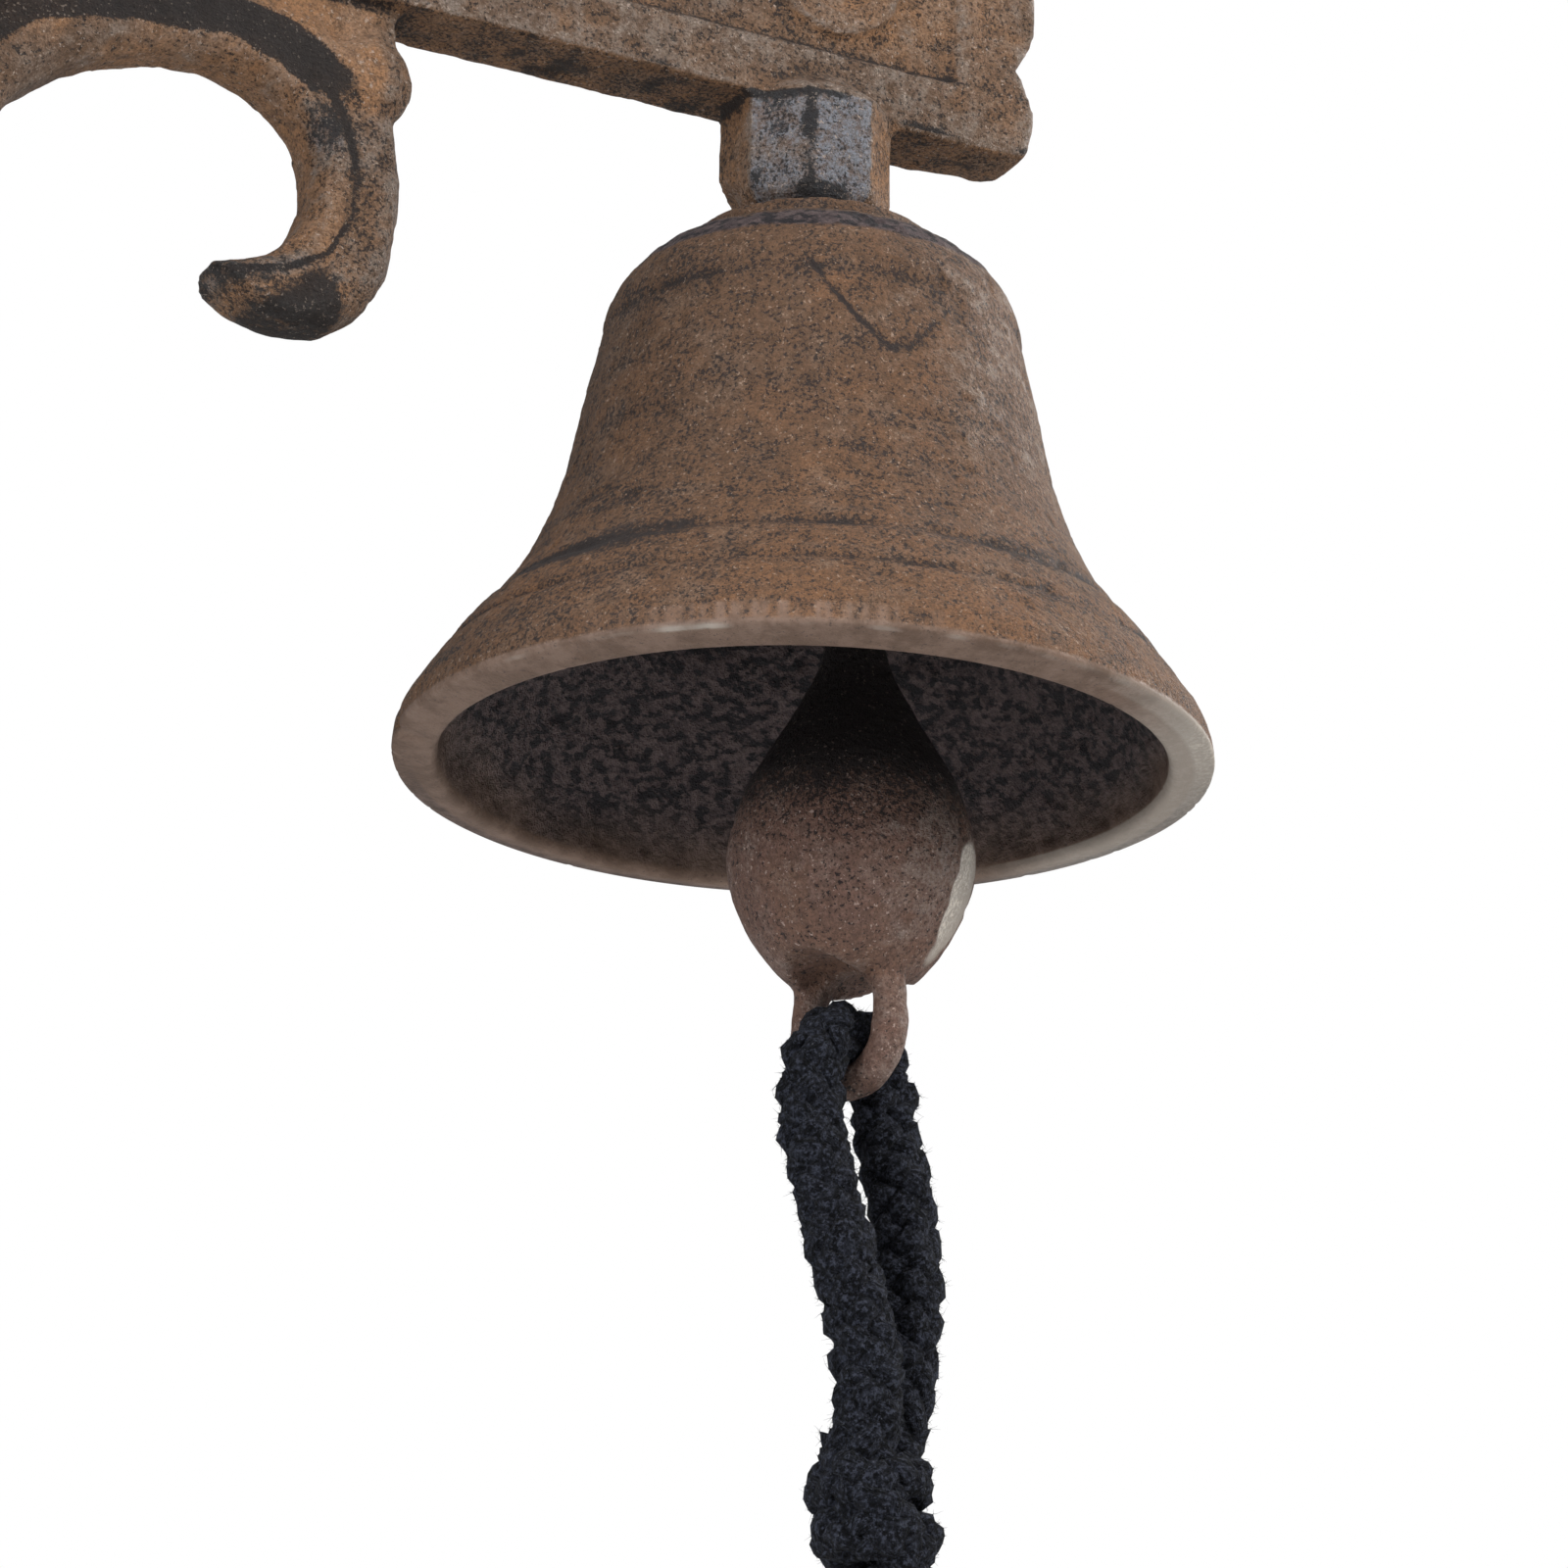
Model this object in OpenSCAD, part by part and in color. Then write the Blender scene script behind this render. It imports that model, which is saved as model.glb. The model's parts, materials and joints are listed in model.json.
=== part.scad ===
// Wall mounted bell: a cast bracket, a clamped bell, a clapper on a hook and link, and its cord.
// The origin is on the wall, at the middle of the wall plate's back. +X leaves the wall, +Z is up.

/* [Bracket] */
// Distance of the bell's axis from the wall
bell_x = 140; // [130:1:150]
// Width of the wall plate
plate_w = 40; // [34:1:50]
// Height of the wall plate
plate_h = 132; // [128:1:140]
// Thickness of the wall plate
plate_t = 5; // [4:0.5:8]
// Distance between the two screw holes
screw_pitch = 108; // [100:1:112]
// Diameter of a screw hole
screw_d = 5.5; // [4:0.1:6.5]
// Thickness of the arm, front to back
arm_t = 9.5; // [8:0.5:12]
// Height of the arm
arm_h = 34; // [32:1:36]
// Height of the arm's underside above the rim of the bell
arm_lift = 74.3; // [74:0.1:76]
// Depth of the sunk panel on each face of the arm
panel_sink = 1.2; // [0.6:0.1:2]
// Width of the boss across its flats
boss_w = 17.6; // [16:0.2:19]

/* [Bell] */
// Radius of the mouth
mouth_r = 43.2; // [42.6:0.1:44]
// Height of the bell, rim to crown
bell_h = 60; // [60:0.5:61]
// Thickness of the wall
wall_t = 4.2; // [3.5:0.1:4.5]
// Height of the rim below the middle of the wall plate
rim_drop = 49; // [46:1:52]

/* [Clapper] */
// Radius of the hook's bend, at the middle of its wire
hook_r = 6; // [5:0.5:6]
// Radius of the hook's wire
hook_wire_r = 1.75; // [1.5:0.05:2]
// Radius of the clapper where it is widest
clapper_r = 13.1; // [12:0.1:13.5]
// Height of the clapper's widest point, from the rim
clapper_wide_z = -8; // [-10:0.5:-6]
// Turn of the cord's eye about the upright
eye_turn = 20; // [10:1:30]

/* [Cord] */
// Diameter of the braided cord
cord_d = 7; // [6:0.1:7.2]

/* [Hidden] */
$fn = 64;

iron = [0.47, 0.36, 0.29];
worn_iron = [0.5, 0.42, 0.38];
steel = [0.3, 0.3, 0.32];
cotton = [0.09, 0.1, 0.12];

gap = 0.15;
rim_z = -rim_drop;
arm_z0 = arm_lift - rim_drop;

// Bolt, washers and nut on the bell's axis, as heights above the rim.
bolt_r = 2.5;
bolt_clear = 0.2;
spacer_t = 1.5;
boss_z0 = bell_h + spacer_t;
boss_shift = -1.2;
bolt_top = arm_lift + 8;
crown_t = 5;
crown_under = bell_h - crown_t;
washer_t = 1.2;
nut_t = 3.4;
nut_w = 8;
hook_z = 48;

// The link hangs in the hook, and the clapper's upper eye hangs in the link.
pivot_x = hook_r;
hook_low = hook_z - hook_r;
link_wire_r = 1.25;
link_r = 5;
link_z = hook_low + hook_wire_r + link_wire_r + gap - link_r;
link_low = link_z - link_r;
top_eye_wire_r = 1.5;
top_eye_r = 4;
top_eye_z = link_low + link_wire_r + top_eye_wire_r + gap - top_eye_r;
cord_eye_wire_r = 1.9;
cord_eye_r = 5.75;
cord_eye_z = clapper_wide_z - 19.7;
eye_bar_z = cord_eye_z - cord_eye_r;
lug_t = 2 * cord_eye_wire_r;
eye_rise = 2.3;

// The cord's route, in the frame of its eye: along the eye's axis, across it, height above the eye's bar.
cord_r = cord_d / 2;
wrap_r = cord_eye_wire_r + cord_r + 0.3;
knot_at = [2.1, -2.2, -45];
loop_route = [for (a = [0:30:180]) [-wrap_r * cos(a), 0, wrap_r * sin(a)]];
front_strand = [[-1.1, -4.3, -37], [-1.1, -4.5, -32], [-2, -3.8, -25], [-3.4, -2.4, -18],
                [-4.8, -1.1, -11], [-5.8, -0.3, -5]];
rear_strand = [[6, -0.2, -5], [7, -1.3, -11], [7.4, -2, -18], [7.4, -2.3, -25], [6.8, -2, -32],
               [6.2, -1.6, -37]];
loop_points = concat(front_strand, loop_route, rear_strand);
tail_points = [[2.1, -2.2, -54], [2, -2, -62], [1.4, -1.2, -74], [0.4, -0.1, -88], [-0.6, 0.8, -103],
               [-1.1, 1.1, -118], [-1.1, 1.1, -132], [-0.9, 0.9, -146], [-0.8, 0.8, -160]];
end_knot_at = [-0.8, 0.8, -165];

// The bell's outside: a flared skirt, a waist and a rounded shoulder, as radius and height.
skirt = [[43.2, 0], [42.6, 3], [40.8, 6], [38.1, 10], [35, 14], [31.6, 18], [29.1, 23], [27.1, 28],
         [25.5, 34], [24.3, 40], [23, 46]];
shoulder_r = 12;
shoulder_top = 13.5;
lip_drop = 0.8;
bell_grow = mouth_r - 43.2;

function lerp(a, b, t) = a + (b - a) * t;
function curve_point(p, i, t) =
    let (n = len(p) - 1, a = p[max(i - 1, 0)], b = p[i], c = p[min(i + 1, n)], d = p[min(i + 2, n)])
    0.5 * (2 * b + (c - a) * t + (2 * a - 5 * b + 4 * c - d) * t * t
           + (3 * b - a - 3 * c + d) * t * t * t);
function smooth(p, steps) =
    concat([for (i = [0:len(p) - 2], k = [0:steps - 1]) curve_point(p, i, k / steps)], [p[len(p) - 1]]);

// A tube of round section along points, as one closed polyhedron.
module tube(points, r, sides = 10) {
    n = len(points);
    dirs = [for (i = [0:n - 1]) let (d = points[min(i + 1, n - 1)] - points[max(i - 1, 0)]) d / norm(d)];
    rings = [for (i = [0:n - 1]) let (c = cross(dirs[i], [0, 1, 0]), u = c / norm(c), v = cross(u, dirs[i]))
        for (k = [0:sides - 1]) let (a = 360 * k / sides) points[i] + r * (cos(a) * u + sin(a) * v)];
    side_faces = [for (i = [0:n - 2], k = [0:sides - 1])
        let (a = i * sides + k, b = i * sides + (k + 1) % sides)
        [a, b, b + sides, a + sides]];
    first = [for (k = [sides - 1:-1:0]) k];
    last = [for (k = [0:sides - 1]) (n - 1) * sides + k];
    polyhedron(rings, concat(side_faces, [first, last]), convexity = 6);
}

module at_rim(x = 0) {
    translate([bell_x + x, 0, rim_z]) children();
}

// A flat shape in the x, z plane, given a thickness along y.
module slab(t) {
    rotate([90, 0, 0]) linear_extrude(t, center = true) children();
}

// Bracket

screw_z = screw_pitch / 2;
plate_round = plate_w / 2;
end_bulge_x = 25.2;
bulge_r = 11;
bulge_pitch = 14.2;
bulge_z0 = arm_z0 + 3.5;
arm_end = bell_x + 21;
panel_band = 7;
panel_x0 = 22;
panel_x1 = bell_x + 15;
rosette_r = 8;
scroll_w = 9;
scroll_t = 9;
foot_x = bell_x - 122;
foot_z = rim_z + 50;
foot_r = 23;
collar_x = bell_x - 54;
collar_z = rim_z + 65.5;
collar_r = 5.2;

// The scroll's inner and outer edges, in pairs, from the mouth of the bell: x, height, x, height.
scroll_edges = [[-91.4, 55.2, -98.6, 61], [-86.4, 59.3, -92.5, 66.8], [-81.3, 61.8, -85.5, 70.6],
                [-76.1, 63.4, -77, 72.8], [-70.7, 63.8, -68, 73], [-66.3, 62.6, -60, 71],
                [-62.9, 60.6, -54, 67], [-60.6, 58.2, -50.4, 61], [-59.4, 54.5, -49.4, 55],
                [-59.6, 50.5, -49.5, 49.5], [-60.6, 47.3, -50.4, 44], [-62.2, 45, -52.6, 39.8],
                [-64, 43.6, -56.5, 37], [-66.2, 42.7, -61, 36.5], [-68.2, 42.1, -64.8, 37.2],
                [-70, 41.6, -68, 39.3]];

// A place on the scroll's bar: its middle, the direction to its inner edge and its half-width.
function bar_pair(e) =
    let (across = [e[0] - e[2], e[1] - e[3]])
    [[bell_x + (e[0] + e[2]) / 2, rim_z + (e[1] + e[3]) / 2], across / norm(across), norm(across) / 2];

// The bar leaves the plate level, climbs, turns over under the arm and ends in a drawn-in tip.
scroll_path = concat(
    [[[plate_t - 1, foot_z - foot_r], [0, -1], scroll_w / 2]],
    [for (a = [-90:9:0]) [[foot_x, foot_z] + foot_r * [cos(a), sin(a)], [cos(a), sin(a)], scroll_w / 2]],
    [for (e = scroll_edges) bar_pair(e)]);

// One layer of the bar, narrowed on both sides by inset.
module bar_layer(inset, t) {
    last = len(scroll_path) - 1;
    slab(t) polygon(concat(
        [for (p = scroll_path) p[0] + p[1] * (p[2] - inset)],
        [for (i = [last:-1:0]) scroll_path[i][0] - scroll_path[i][1] * (scroll_path[i][2] - inset)]));
}

module wall_plate() {
    difference() {
        hull() for (s = [-1, 1])
            translate([0, 0, s * (plate_h / 2 - plate_round)]) rotate([0, 90, 0])
                cylinder(r = plate_round, h = plate_t);
        for (s = [-1, 1]) translate([0, 0, s * screw_z]) {
            translate([-1, 0, 0]) rotate([0, 90, 0]) cylinder(d = screw_d, h = plate_t + 2);
            translate([plate_t - 2, 0, 0]) rotate([0, 90, 0])
                cylinder(r1 = screw_d / 2, r2 = screw_d / 2 + 2.5, h = 2.5);
        }
    }
}

module arm() {
    difference() {
        union() {
            slab(arm_t) translate([plate_t - 1, arm_z0]) square([arm_end - plate_t + 1, arm_h]);
            intersection() {
                union() for (i = [0:2])
                    translate([bell_x + end_bulge_x - bulge_r, 0, bulge_z0 + i * bulge_pitch])
                        rotate([90, 0, 0]) cylinder(r = bulge_r, h = arm_t, center = true);
                translate([bell_x, -arm_t, arm_z0 - 0.2]) cube([60, 2 * arm_t, arm_h + 0.2]);
            }
        }
        for (s = [-1, 1]) difference() {
            translate([0, s * arm_t / 2, 0]) slab(2 * panel_sink)
                translate([panel_x0, arm_z0 + panel_band])
                    square([panel_x1 - panel_x0, arm_h - 2 * panel_band + 1]);
            translate([bell_x, s * arm_t / 2, arm_z0 + arm_h / 2 + 0.5]) rotate([90, 0, 0])
                difference() {
                    cylinder(r = rosette_r, h = 3 * arm_t, center = true);
                    cylinder(r = rosette_r - 3, h = 4 * arm_t, center = true);
                }
        }
    }
}

module boss() {
    h = arm_lift - boss_z0 + 5;
    intersection() {
        at_rim(boss_shift) translate([0, 0, boss_z0]) rotate([0, 0, 22.5])
            cylinder(r = boss_w / 2 / cos(22.5), h = h, $fn = 8);
        at_rim(boss_shift) translate([0, 0, boss_z0]) rotate_extrude()
            polygon([[0, 0], [boss_w / 2 - 1.2, 0], [boss_w / 2 + 1.2, 2.4],
                     [boss_w / 2 + 1.2, h - 5], [3.5, h], [0, h]]);
    }
}

module scroll() {
    bar_layer(0, scroll_t * 0.5);
    bar_layer(0.7, scroll_t * 0.76);
    bar_layer(1.5, scroll_t);
}

module scroll_web() {
    slab(scroll_t - 3) polygon([[bell_x - 96, arm_z0 + 1], [collar_x + 3, arm_z0 + 1],
        [collar_x + 3.5, collar_z - 3], [bell_x - 53, rim_z + 57], [bell_x - 58, rim_z + 64],
        [bell_x - 66, rim_z + 68], [bell_x - 80, rim_z + 68]]);
    translate([collar_x, 0, collar_z]) rotate([90, 0, 0]) rotate_extrude()
        polygon([[0, -5.2], [2.8, -5.2], [collar_r, -3], [collar_r, 3], [2.8, 5.2], [0, 5.2]]);
}

module bracket() {
    color(iron) difference() {
        union() {
            wall_plate();
            arm();
            boss();
            scroll();
            scroll_web();
        }
        at_rim() translate([0, 0, boss_z0 - 1])
            cylinder(r = bolt_r + 0.05, h = bolt_top - boss_z0 + 1.5);
    }
}

// Bell and its clamp

module bell() {
    outer = smooth([for (p = skirt) [p[0] + bell_grow * (1 - p[1] / 46), p[1]]], 3);
    arc_x = 22.9 - shoulder_r;
    arc_z = bell_h - 1.7 - shoulder_r;
    shoulder = [for (a = [8:14:78]) [arc_x + shoulder_r * cos(a), arc_z + shoulder_r * sin(a)]];
    crown = [[shoulder_top, bell_h - 1.8], [shoulder_top - 0.4, bell_h]];
    inner = smooth([for (p = [for (i = [10:-1:0]) skirt[i]])
        [p[0] + bell_grow * (1 - p[1] / 46) - lerp(wall_t, 4.9, max(0, 1 - p[1] / 12)), p[1]]], 3);
    color(iron) at_rim() difference() {
        rotate_extrude() polygon(concat(
            outer, shoulder, crown,
            [[bolt_r + bolt_clear, bell_h], [bolt_r + bolt_clear, crown_under],
             [12, crown_under], [16.5, 52.6]], inner, [[mouth_r - 4.3, -lip_drop]]));
        for (z = [9.3, 14.7]) translate([0, 0, z]) rotate_extrude()
            translate([bell_r_at(z) + 0.5, 0]) circle(r = 0.95);
    }
}

function bell_r_at(z) =
    let (i = max([for (k = [0:len(skirt) - 2]) if (skirt[k][1] <= z) k]),
         t = (z - skirt[i][1]) / (skirt[i + 1][1] - skirt[i][1]))
    lerp(skirt[i][0], skirt[i + 1][0], t);

module ring_washer(z, r, t) {
    at_rim() translate([0, 0, z]) difference() {
        cylinder(r = r, h = t);
        translate([0, 0, -1]) cylinder(r = bolt_r + bolt_clear, h = t + 2);
    }
}

module spacer_washer() {
    color(steel) ring_washer(bell_h, 6.5, spacer_t);
}

module crown_washer() {
    color(steel) ring_washer(crown_under - washer_t, 7, washer_t);
}

module crown_nut() {
    color(steel) at_rim() translate([0, 0, crown_under - washer_t - nut_t]) difference() {
        cylinder(r = nut_w / 2 / cos(30), h = nut_t, $fn = 6);
        translate([0, 0, -1]) cylinder(r = bolt_r + 0.05, h = nut_t + 2);
    }
}

module hook_bolt() {
    color(steel) at_rim() {
        translate([0, 0, hook_z]) cylinder(r = hook_wire_r, h = 4);
        translate([0, 0, hook_z + 1]) cylinder(r1 = hook_wire_r, r2 = bolt_r, h = 1);
        translate([0, 0, hook_z + 2]) cylinder(r = bolt_r, h = bolt_top - hook_z - 2);
        translate([hook_r, 0, hook_z]) rotate([90, 0, 0]) rotate([0, 0, 180])
            rotate_extrude(angle = 180) translate([hook_r, 0]) circle(r = hook_wire_r);
        translate([2 * hook_r, 0, hook_z]) sphere(r = hook_wire_r);
    }
}

// Clapper and its link

module clapper_link() {
    color(steel) at_rim(pivot_x) translate([0, 0, link_z]) rotate([0, 90, 0])
        rotate_extrude() translate([link_r, 0]) circle(r = link_wire_r);
}

// The clapper's outside, as radius and height from its widest place.
pear = [[3, top_eye_z - clapper_wide_z - 3], [3.1, 25.5], [3.8, 20.5], [6.2, 15.5], [9.3, 10],
        [11.5, 6], [13.1, 0], [12.8, -4], [11.6, -7.5], [9.6, -11], [7, -14], [4, -15.6]];

// One layer of the cord's lug, narrowed all round by inset.
module lug_layer(inset, t) {
    outer_r = cord_eye_r + cord_eye_wire_r - inset;
    rotate([90, 0, 90]) linear_extrude(t, center = true) {
        circle(r = outer_r);
        polygon([[-outer_r, 0], [outer_r, 0], [outer_r - 0.9, 6.5], [0.9 - outer_r, 6.5]]);
    }
}

// The lug's hole at one layer, a little higher than it is wide.
module lug_hole(inset, t) {
    rotate([90, 0, 90]) linear_extrude(t, center = true) hull() for (z = [0, eye_rise])
        translate([0, z]) circle(r = cord_eye_r - cord_eye_wire_r + inset);
}

module clapper() {
    outline = smooth([for (p = pear) [p[0] * clapper_r / 13.1, p[1]]], 3);
    color(worn_iron) at_rim(pivot_x) difference() {
        union() {
            translate([0, 0, clapper_wide_z]) rotate_extrude()
                polygon(concat([[0, pear[0][1]]], outline, [[0, -15.6]]));
            translate([0, 0, top_eye_z]) rotate([90, 0, 0])
                rotate_extrude() translate([top_eye_r, 0]) circle(r = top_eye_wire_r);
            translate([0, 0, cord_eye_z]) rotate([0, 0, eye_turn]) {
                lug_layer(0, lug_t * 0.5);
                lug_layer(0.5, lug_t * 0.8);
                lug_layer(1, lug_t);
            }
        }
        translate([0, 0, cord_eye_z]) rotate([0, 0, eye_turn]) {
            lug_hole(0, 20);
            for (s = [-1, 1]) {
                translate([s * (lug_t * 0.25 + 5), 0, 0]) lug_hole(0.5, 10);
                translate([s * (lug_t * 0.4 + 5), 0, 0]) lug_hole(1, 10);
            }
        }
    }
}

// Cord

module at_eye_bar() {
    at_rim(pivot_x) translate([0, 0, eye_bar_z]) rotate([0, 0, eye_turn]) children();
}

module cord_loop() {
    color(cotton) at_eye_bar() tube(smooth(loop_points, 1), cord_r);
}

// A knot's plain solid: a rounded barrel.
module barrel(place, r, h) {
    translate(place) rotate_extrude() polygon([for (a = [-90:15:90])
        [r * pow(cos(a), 0.6), h / 2 * sin(a)]]);
}

module loop_knot() {
    color(cotton) at_eye_bar() difference() {
        barrel(knot_at, 8, 20);
        tube(loop_points, cord_r);
        tube(tail_points, cord_r);
    }
}

module cord_tail() {
    color(cotton) at_eye_bar() tube(tail_points, cord_r);
}

module end_knot() {
    color(cotton) at_eye_bar() difference() {
        barrel(end_knot_at, 7, 14);
        tube(tail_points, cord_r);
    }
}

bracket();
bell();
spacer_washer();
crown_washer();
crown_nut();
hook_bolt();
clapper_link();
clapper();
cord_loop();
loop_knot();
cord_tail();
end_knot();
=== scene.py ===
import json
import math
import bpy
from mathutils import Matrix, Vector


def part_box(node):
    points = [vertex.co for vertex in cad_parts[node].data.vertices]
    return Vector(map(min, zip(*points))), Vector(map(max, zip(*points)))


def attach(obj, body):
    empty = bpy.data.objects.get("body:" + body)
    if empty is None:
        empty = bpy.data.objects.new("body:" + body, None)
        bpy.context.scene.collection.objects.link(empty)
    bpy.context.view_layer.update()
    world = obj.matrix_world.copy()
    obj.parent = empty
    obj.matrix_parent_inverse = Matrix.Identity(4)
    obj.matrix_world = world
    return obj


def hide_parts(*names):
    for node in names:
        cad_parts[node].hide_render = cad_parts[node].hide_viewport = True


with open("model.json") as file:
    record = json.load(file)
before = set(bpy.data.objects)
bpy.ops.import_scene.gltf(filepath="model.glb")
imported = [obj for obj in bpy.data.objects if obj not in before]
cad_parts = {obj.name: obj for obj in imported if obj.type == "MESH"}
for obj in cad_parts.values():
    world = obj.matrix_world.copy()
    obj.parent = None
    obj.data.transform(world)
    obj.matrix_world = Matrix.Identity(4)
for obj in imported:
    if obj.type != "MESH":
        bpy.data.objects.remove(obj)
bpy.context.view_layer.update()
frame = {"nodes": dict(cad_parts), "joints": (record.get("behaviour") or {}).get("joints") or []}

from types import SimpleNamespace

import bpy
import numpy as np
from mathutils import Matrix, Vector

MM = 0.001
RNG = np.random.default_rng(11)

# ---------------------------------------------------------------- places, from the frame

BELL_LOW, BELL_HIGH = (np.array(c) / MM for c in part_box("bell"))
AXIS_X = (BELL_LOW[0] + BELL_HIGH[0]) / 2
# The ground lip slopes, so its inner edge is this far below the mouth's outer edge.
LIP_DROP = 0.8
RIM_Z = BELL_LOW[2] + LIP_DROP
MOUTH_R = (BELL_HIGH[0] - BELL_LOW[0]) / 2
BELL_H = BELL_HIGH[2] - RIM_Z
EYE_BAR = next(np.array(j["pos_m"]) / MM for j in frame["joints"] if j["name"] == "cord_swing")
EYE_TURN = math.radians(20)
CAM_AZIMUTH = math.radians(-27)
# The way from the bell's axis toward the camera, in degrees round the bell.
FACING = math.degrees(CAM_AZIMUTH) - 90


def at_rim(points):
    """Points given from the middle of the bell's mouth, in the row frame."""
    return np.asarray(points, float) + np.array([AXIS_X, 0, RIM_Z])


def at_eye(points):
    """Points given across the cord eye's bar, along it and above it, in the row frame."""
    p = np.asarray(points, float)
    c, s = math.cos(EYE_TURN), math.sin(EYE_TURN)
    turned = np.stack([c * p[:, 0] - s * p[:, 1], s * p[:, 0] + c * p[:, 1], p[:, 2]], 1)
    return turned + EYE_BAR


# ---------------------------------------------------------------- camera


CAM_ELEVATION = math.radians(-18.87)
CAM_ROLL = math.radians(1.26)
CAM_DISTANCE = 0.55
CAM_LENS = 120.4
# The mouth's middle is this far right of the picture's middle, and above it, in metres.
MOUTH_RIGHT, MOUTH_UP = 0.00195, 0.00156


def make_camera():
    """A long lens, from the wall side and from below, rolled a little."""
    level = math.cos(CAM_ELEVATION)
    ahead = Vector((
        -math.sin(CAM_AZIMUTH) * level, math.cos(CAM_AZIMUTH) * level, -math.sin(CAM_ELEVATION)
    ))
    right = Vector((math.cos(CAM_AZIMUTH), math.sin(CAM_AZIMUTH), 0))
    up = right.cross(ahead)
    right, up = (
        right * math.cos(CAM_ROLL) + up * math.sin(CAM_ROLL),
        up * math.cos(CAM_ROLL) - right * math.sin(CAM_ROLL),
    )
    mouth = Vector(at_rim([0, 0, 0]) * MM)
    place = mouth - ahead * CAM_DISTANCE - right * MOUTH_RIGHT - up * MOUTH_UP
    turn = Matrix((right, up, -ahead)).transposed().to_4x4()
    data = bpy.data.cameras.new("camera")
    data.lens = CAM_LENS
    data.clip_start = 0.01
    camera = bpy.data.objects.new("camera", data)
    camera.matrix_world = Matrix.Translation(place) @ turn
    bpy.context.scene.collection.objects.link(camera)
    bpy.context.scene.camera = camera


make_camera()

# ---------------------------------------------------------------- numbers and meshes


def hashed(i, j, k, seed):
    """A number from 0 to 1 for each lattice point."""
    h = i * 374761393 + j * 668265263 + k * 1440662683 + seed * 1274126177
    h = (h ^ (h >> 13)) & 0xFFFFFFFF
    h = (h * 1274126177) & 0xFFFFFFFF
    return ((h ^ (h >> 16)) & 0xFFFF) / 65535.0


def noise3(p, size, seed=0):
    """Smooth noise from -1 to 1, with features about size across."""
    q = np.asarray(p, float) / size
    cell = np.floor(q).astype(np.int64)
    f = q - cell
    f = f * f * (3 - 2 * f)
    total = 0
    for dx in (0, 1):
        for dy in (0, 1):
            for dz in (0, 1):
                w = (f[:, 0] if dx else 1 - f[:, 0])
                w = w * (f[:, 1] if dy else 1 - f[:, 1])
                w = w * (f[:, 2] if dz else 1 - f[:, 2])
                total = total + w * hashed(
                    cell[:, 0] + dx, cell[:, 1] + dy, cell[:, 2] + dz, seed
                )
    return total * 2 - 1


def fractal(p, size, octaves=3, seed=0):
    total, weight = 0, 0
    for i in range(octaves):
        w = 0.5**i
        total = total + w * noise3(p, size * 0.5**i, seed + i)
        weight += w
    return total / weight


def ramp(x, low, high):
    """0 below low, 1 above high, smooth between."""
    t = np.clip((x - low) / (high - low), 0, 1)
    return t * t * (3 - 2 * t)


def bump(x, centre, width):
    return np.exp(-(((x - centre) / width) ** 2))


def new_mesh(name, points_mm, faces, attributes, material):
    mesh = bpy.data.meshes.new(name)
    mesh.from_pydata((points_mm * MM).tolist(), [], faces)
    mesh.update()
    mesh.polygons.foreach_set("use_smooth", [True] * len(mesh.polygons))
    for key, values in attributes.items():
        set_attribute(mesh, key, values)
    mesh.materials.append(material)
    obj = bpy.data.objects.new(name, mesh)
    bpy.context.scene.collection.objects.link(obj)
    return obj


def set_attribute(mesh, key, values):
    values = np.asarray(values, np.float32)
    kind, slot = ("FLOAT_VECTOR", "vector") if values.ndim == 2 else ("FLOAT", "value")
    layer = mesh.attributes.new(key, kind, "POINT")
    layer.data.foreach_set(slot, values.ravel())


def points_of(mesh):
    flat = np.empty(len(mesh.vertices) * 3, np.float32)
    mesh.vertices.foreach_get("co", flat)
    return flat.reshape(-1, 3).astype(float) / MM


def normals_of(mesh):
    flat = np.empty(len(mesh.vertices) * 3, np.float32)
    mesh.vertices.foreach_get("normal", flat)
    return flat.reshape(-1, 3).astype(float)


def put_points(mesh, points_mm):
    mesh.vertices.foreach_set("co", (points_mm * MM).astype(np.float32).ravel())
    mesh.update()


def grid_faces(rows, columns, wrap_rows=False):
    """Quads over a grid whose columns close on themselves."""
    i = np.arange(rows if wrap_rows else rows - 1)
    j = np.arange(columns)
    a = i[:, None] * columns + j[None, :]
    b = i[:, None] * columns + (j[None, :] + 1) % columns
    up = ((i + 1) % rows)[:, None] * columns
    return np.stack([a, b, up + (j[None, :] + 1) % columns, up + j[None, :]], -1).reshape(-1, 4)


def smoothed(mesh, values, times):
    """values, one per vertex, averaged with their neighbours."""
    edges = np.empty(len(mesh.edges) * 2, np.int32)
    mesh.edges.foreach_get("vertices", edges)
    a, b = edges.reshape(-1, 2).T
    n = len(mesh.vertices)
    count = np.bincount(a, minlength=n) + np.bincount(b, minlength=n)
    out = np.asarray(values, float)
    flat = out.ndim == 1
    out = out.reshape(n, -1).copy()
    for _ in range(times):
        for c in range(out.shape[1]):
            total = np.bincount(a, out[b, c], n) + np.bincount(b, out[a, c], n)
            out[:, c] = 0.4 * out[:, c] + 0.6 * total / np.maximum(count, 1)
    return out[:, 0] if flat else out


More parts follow.
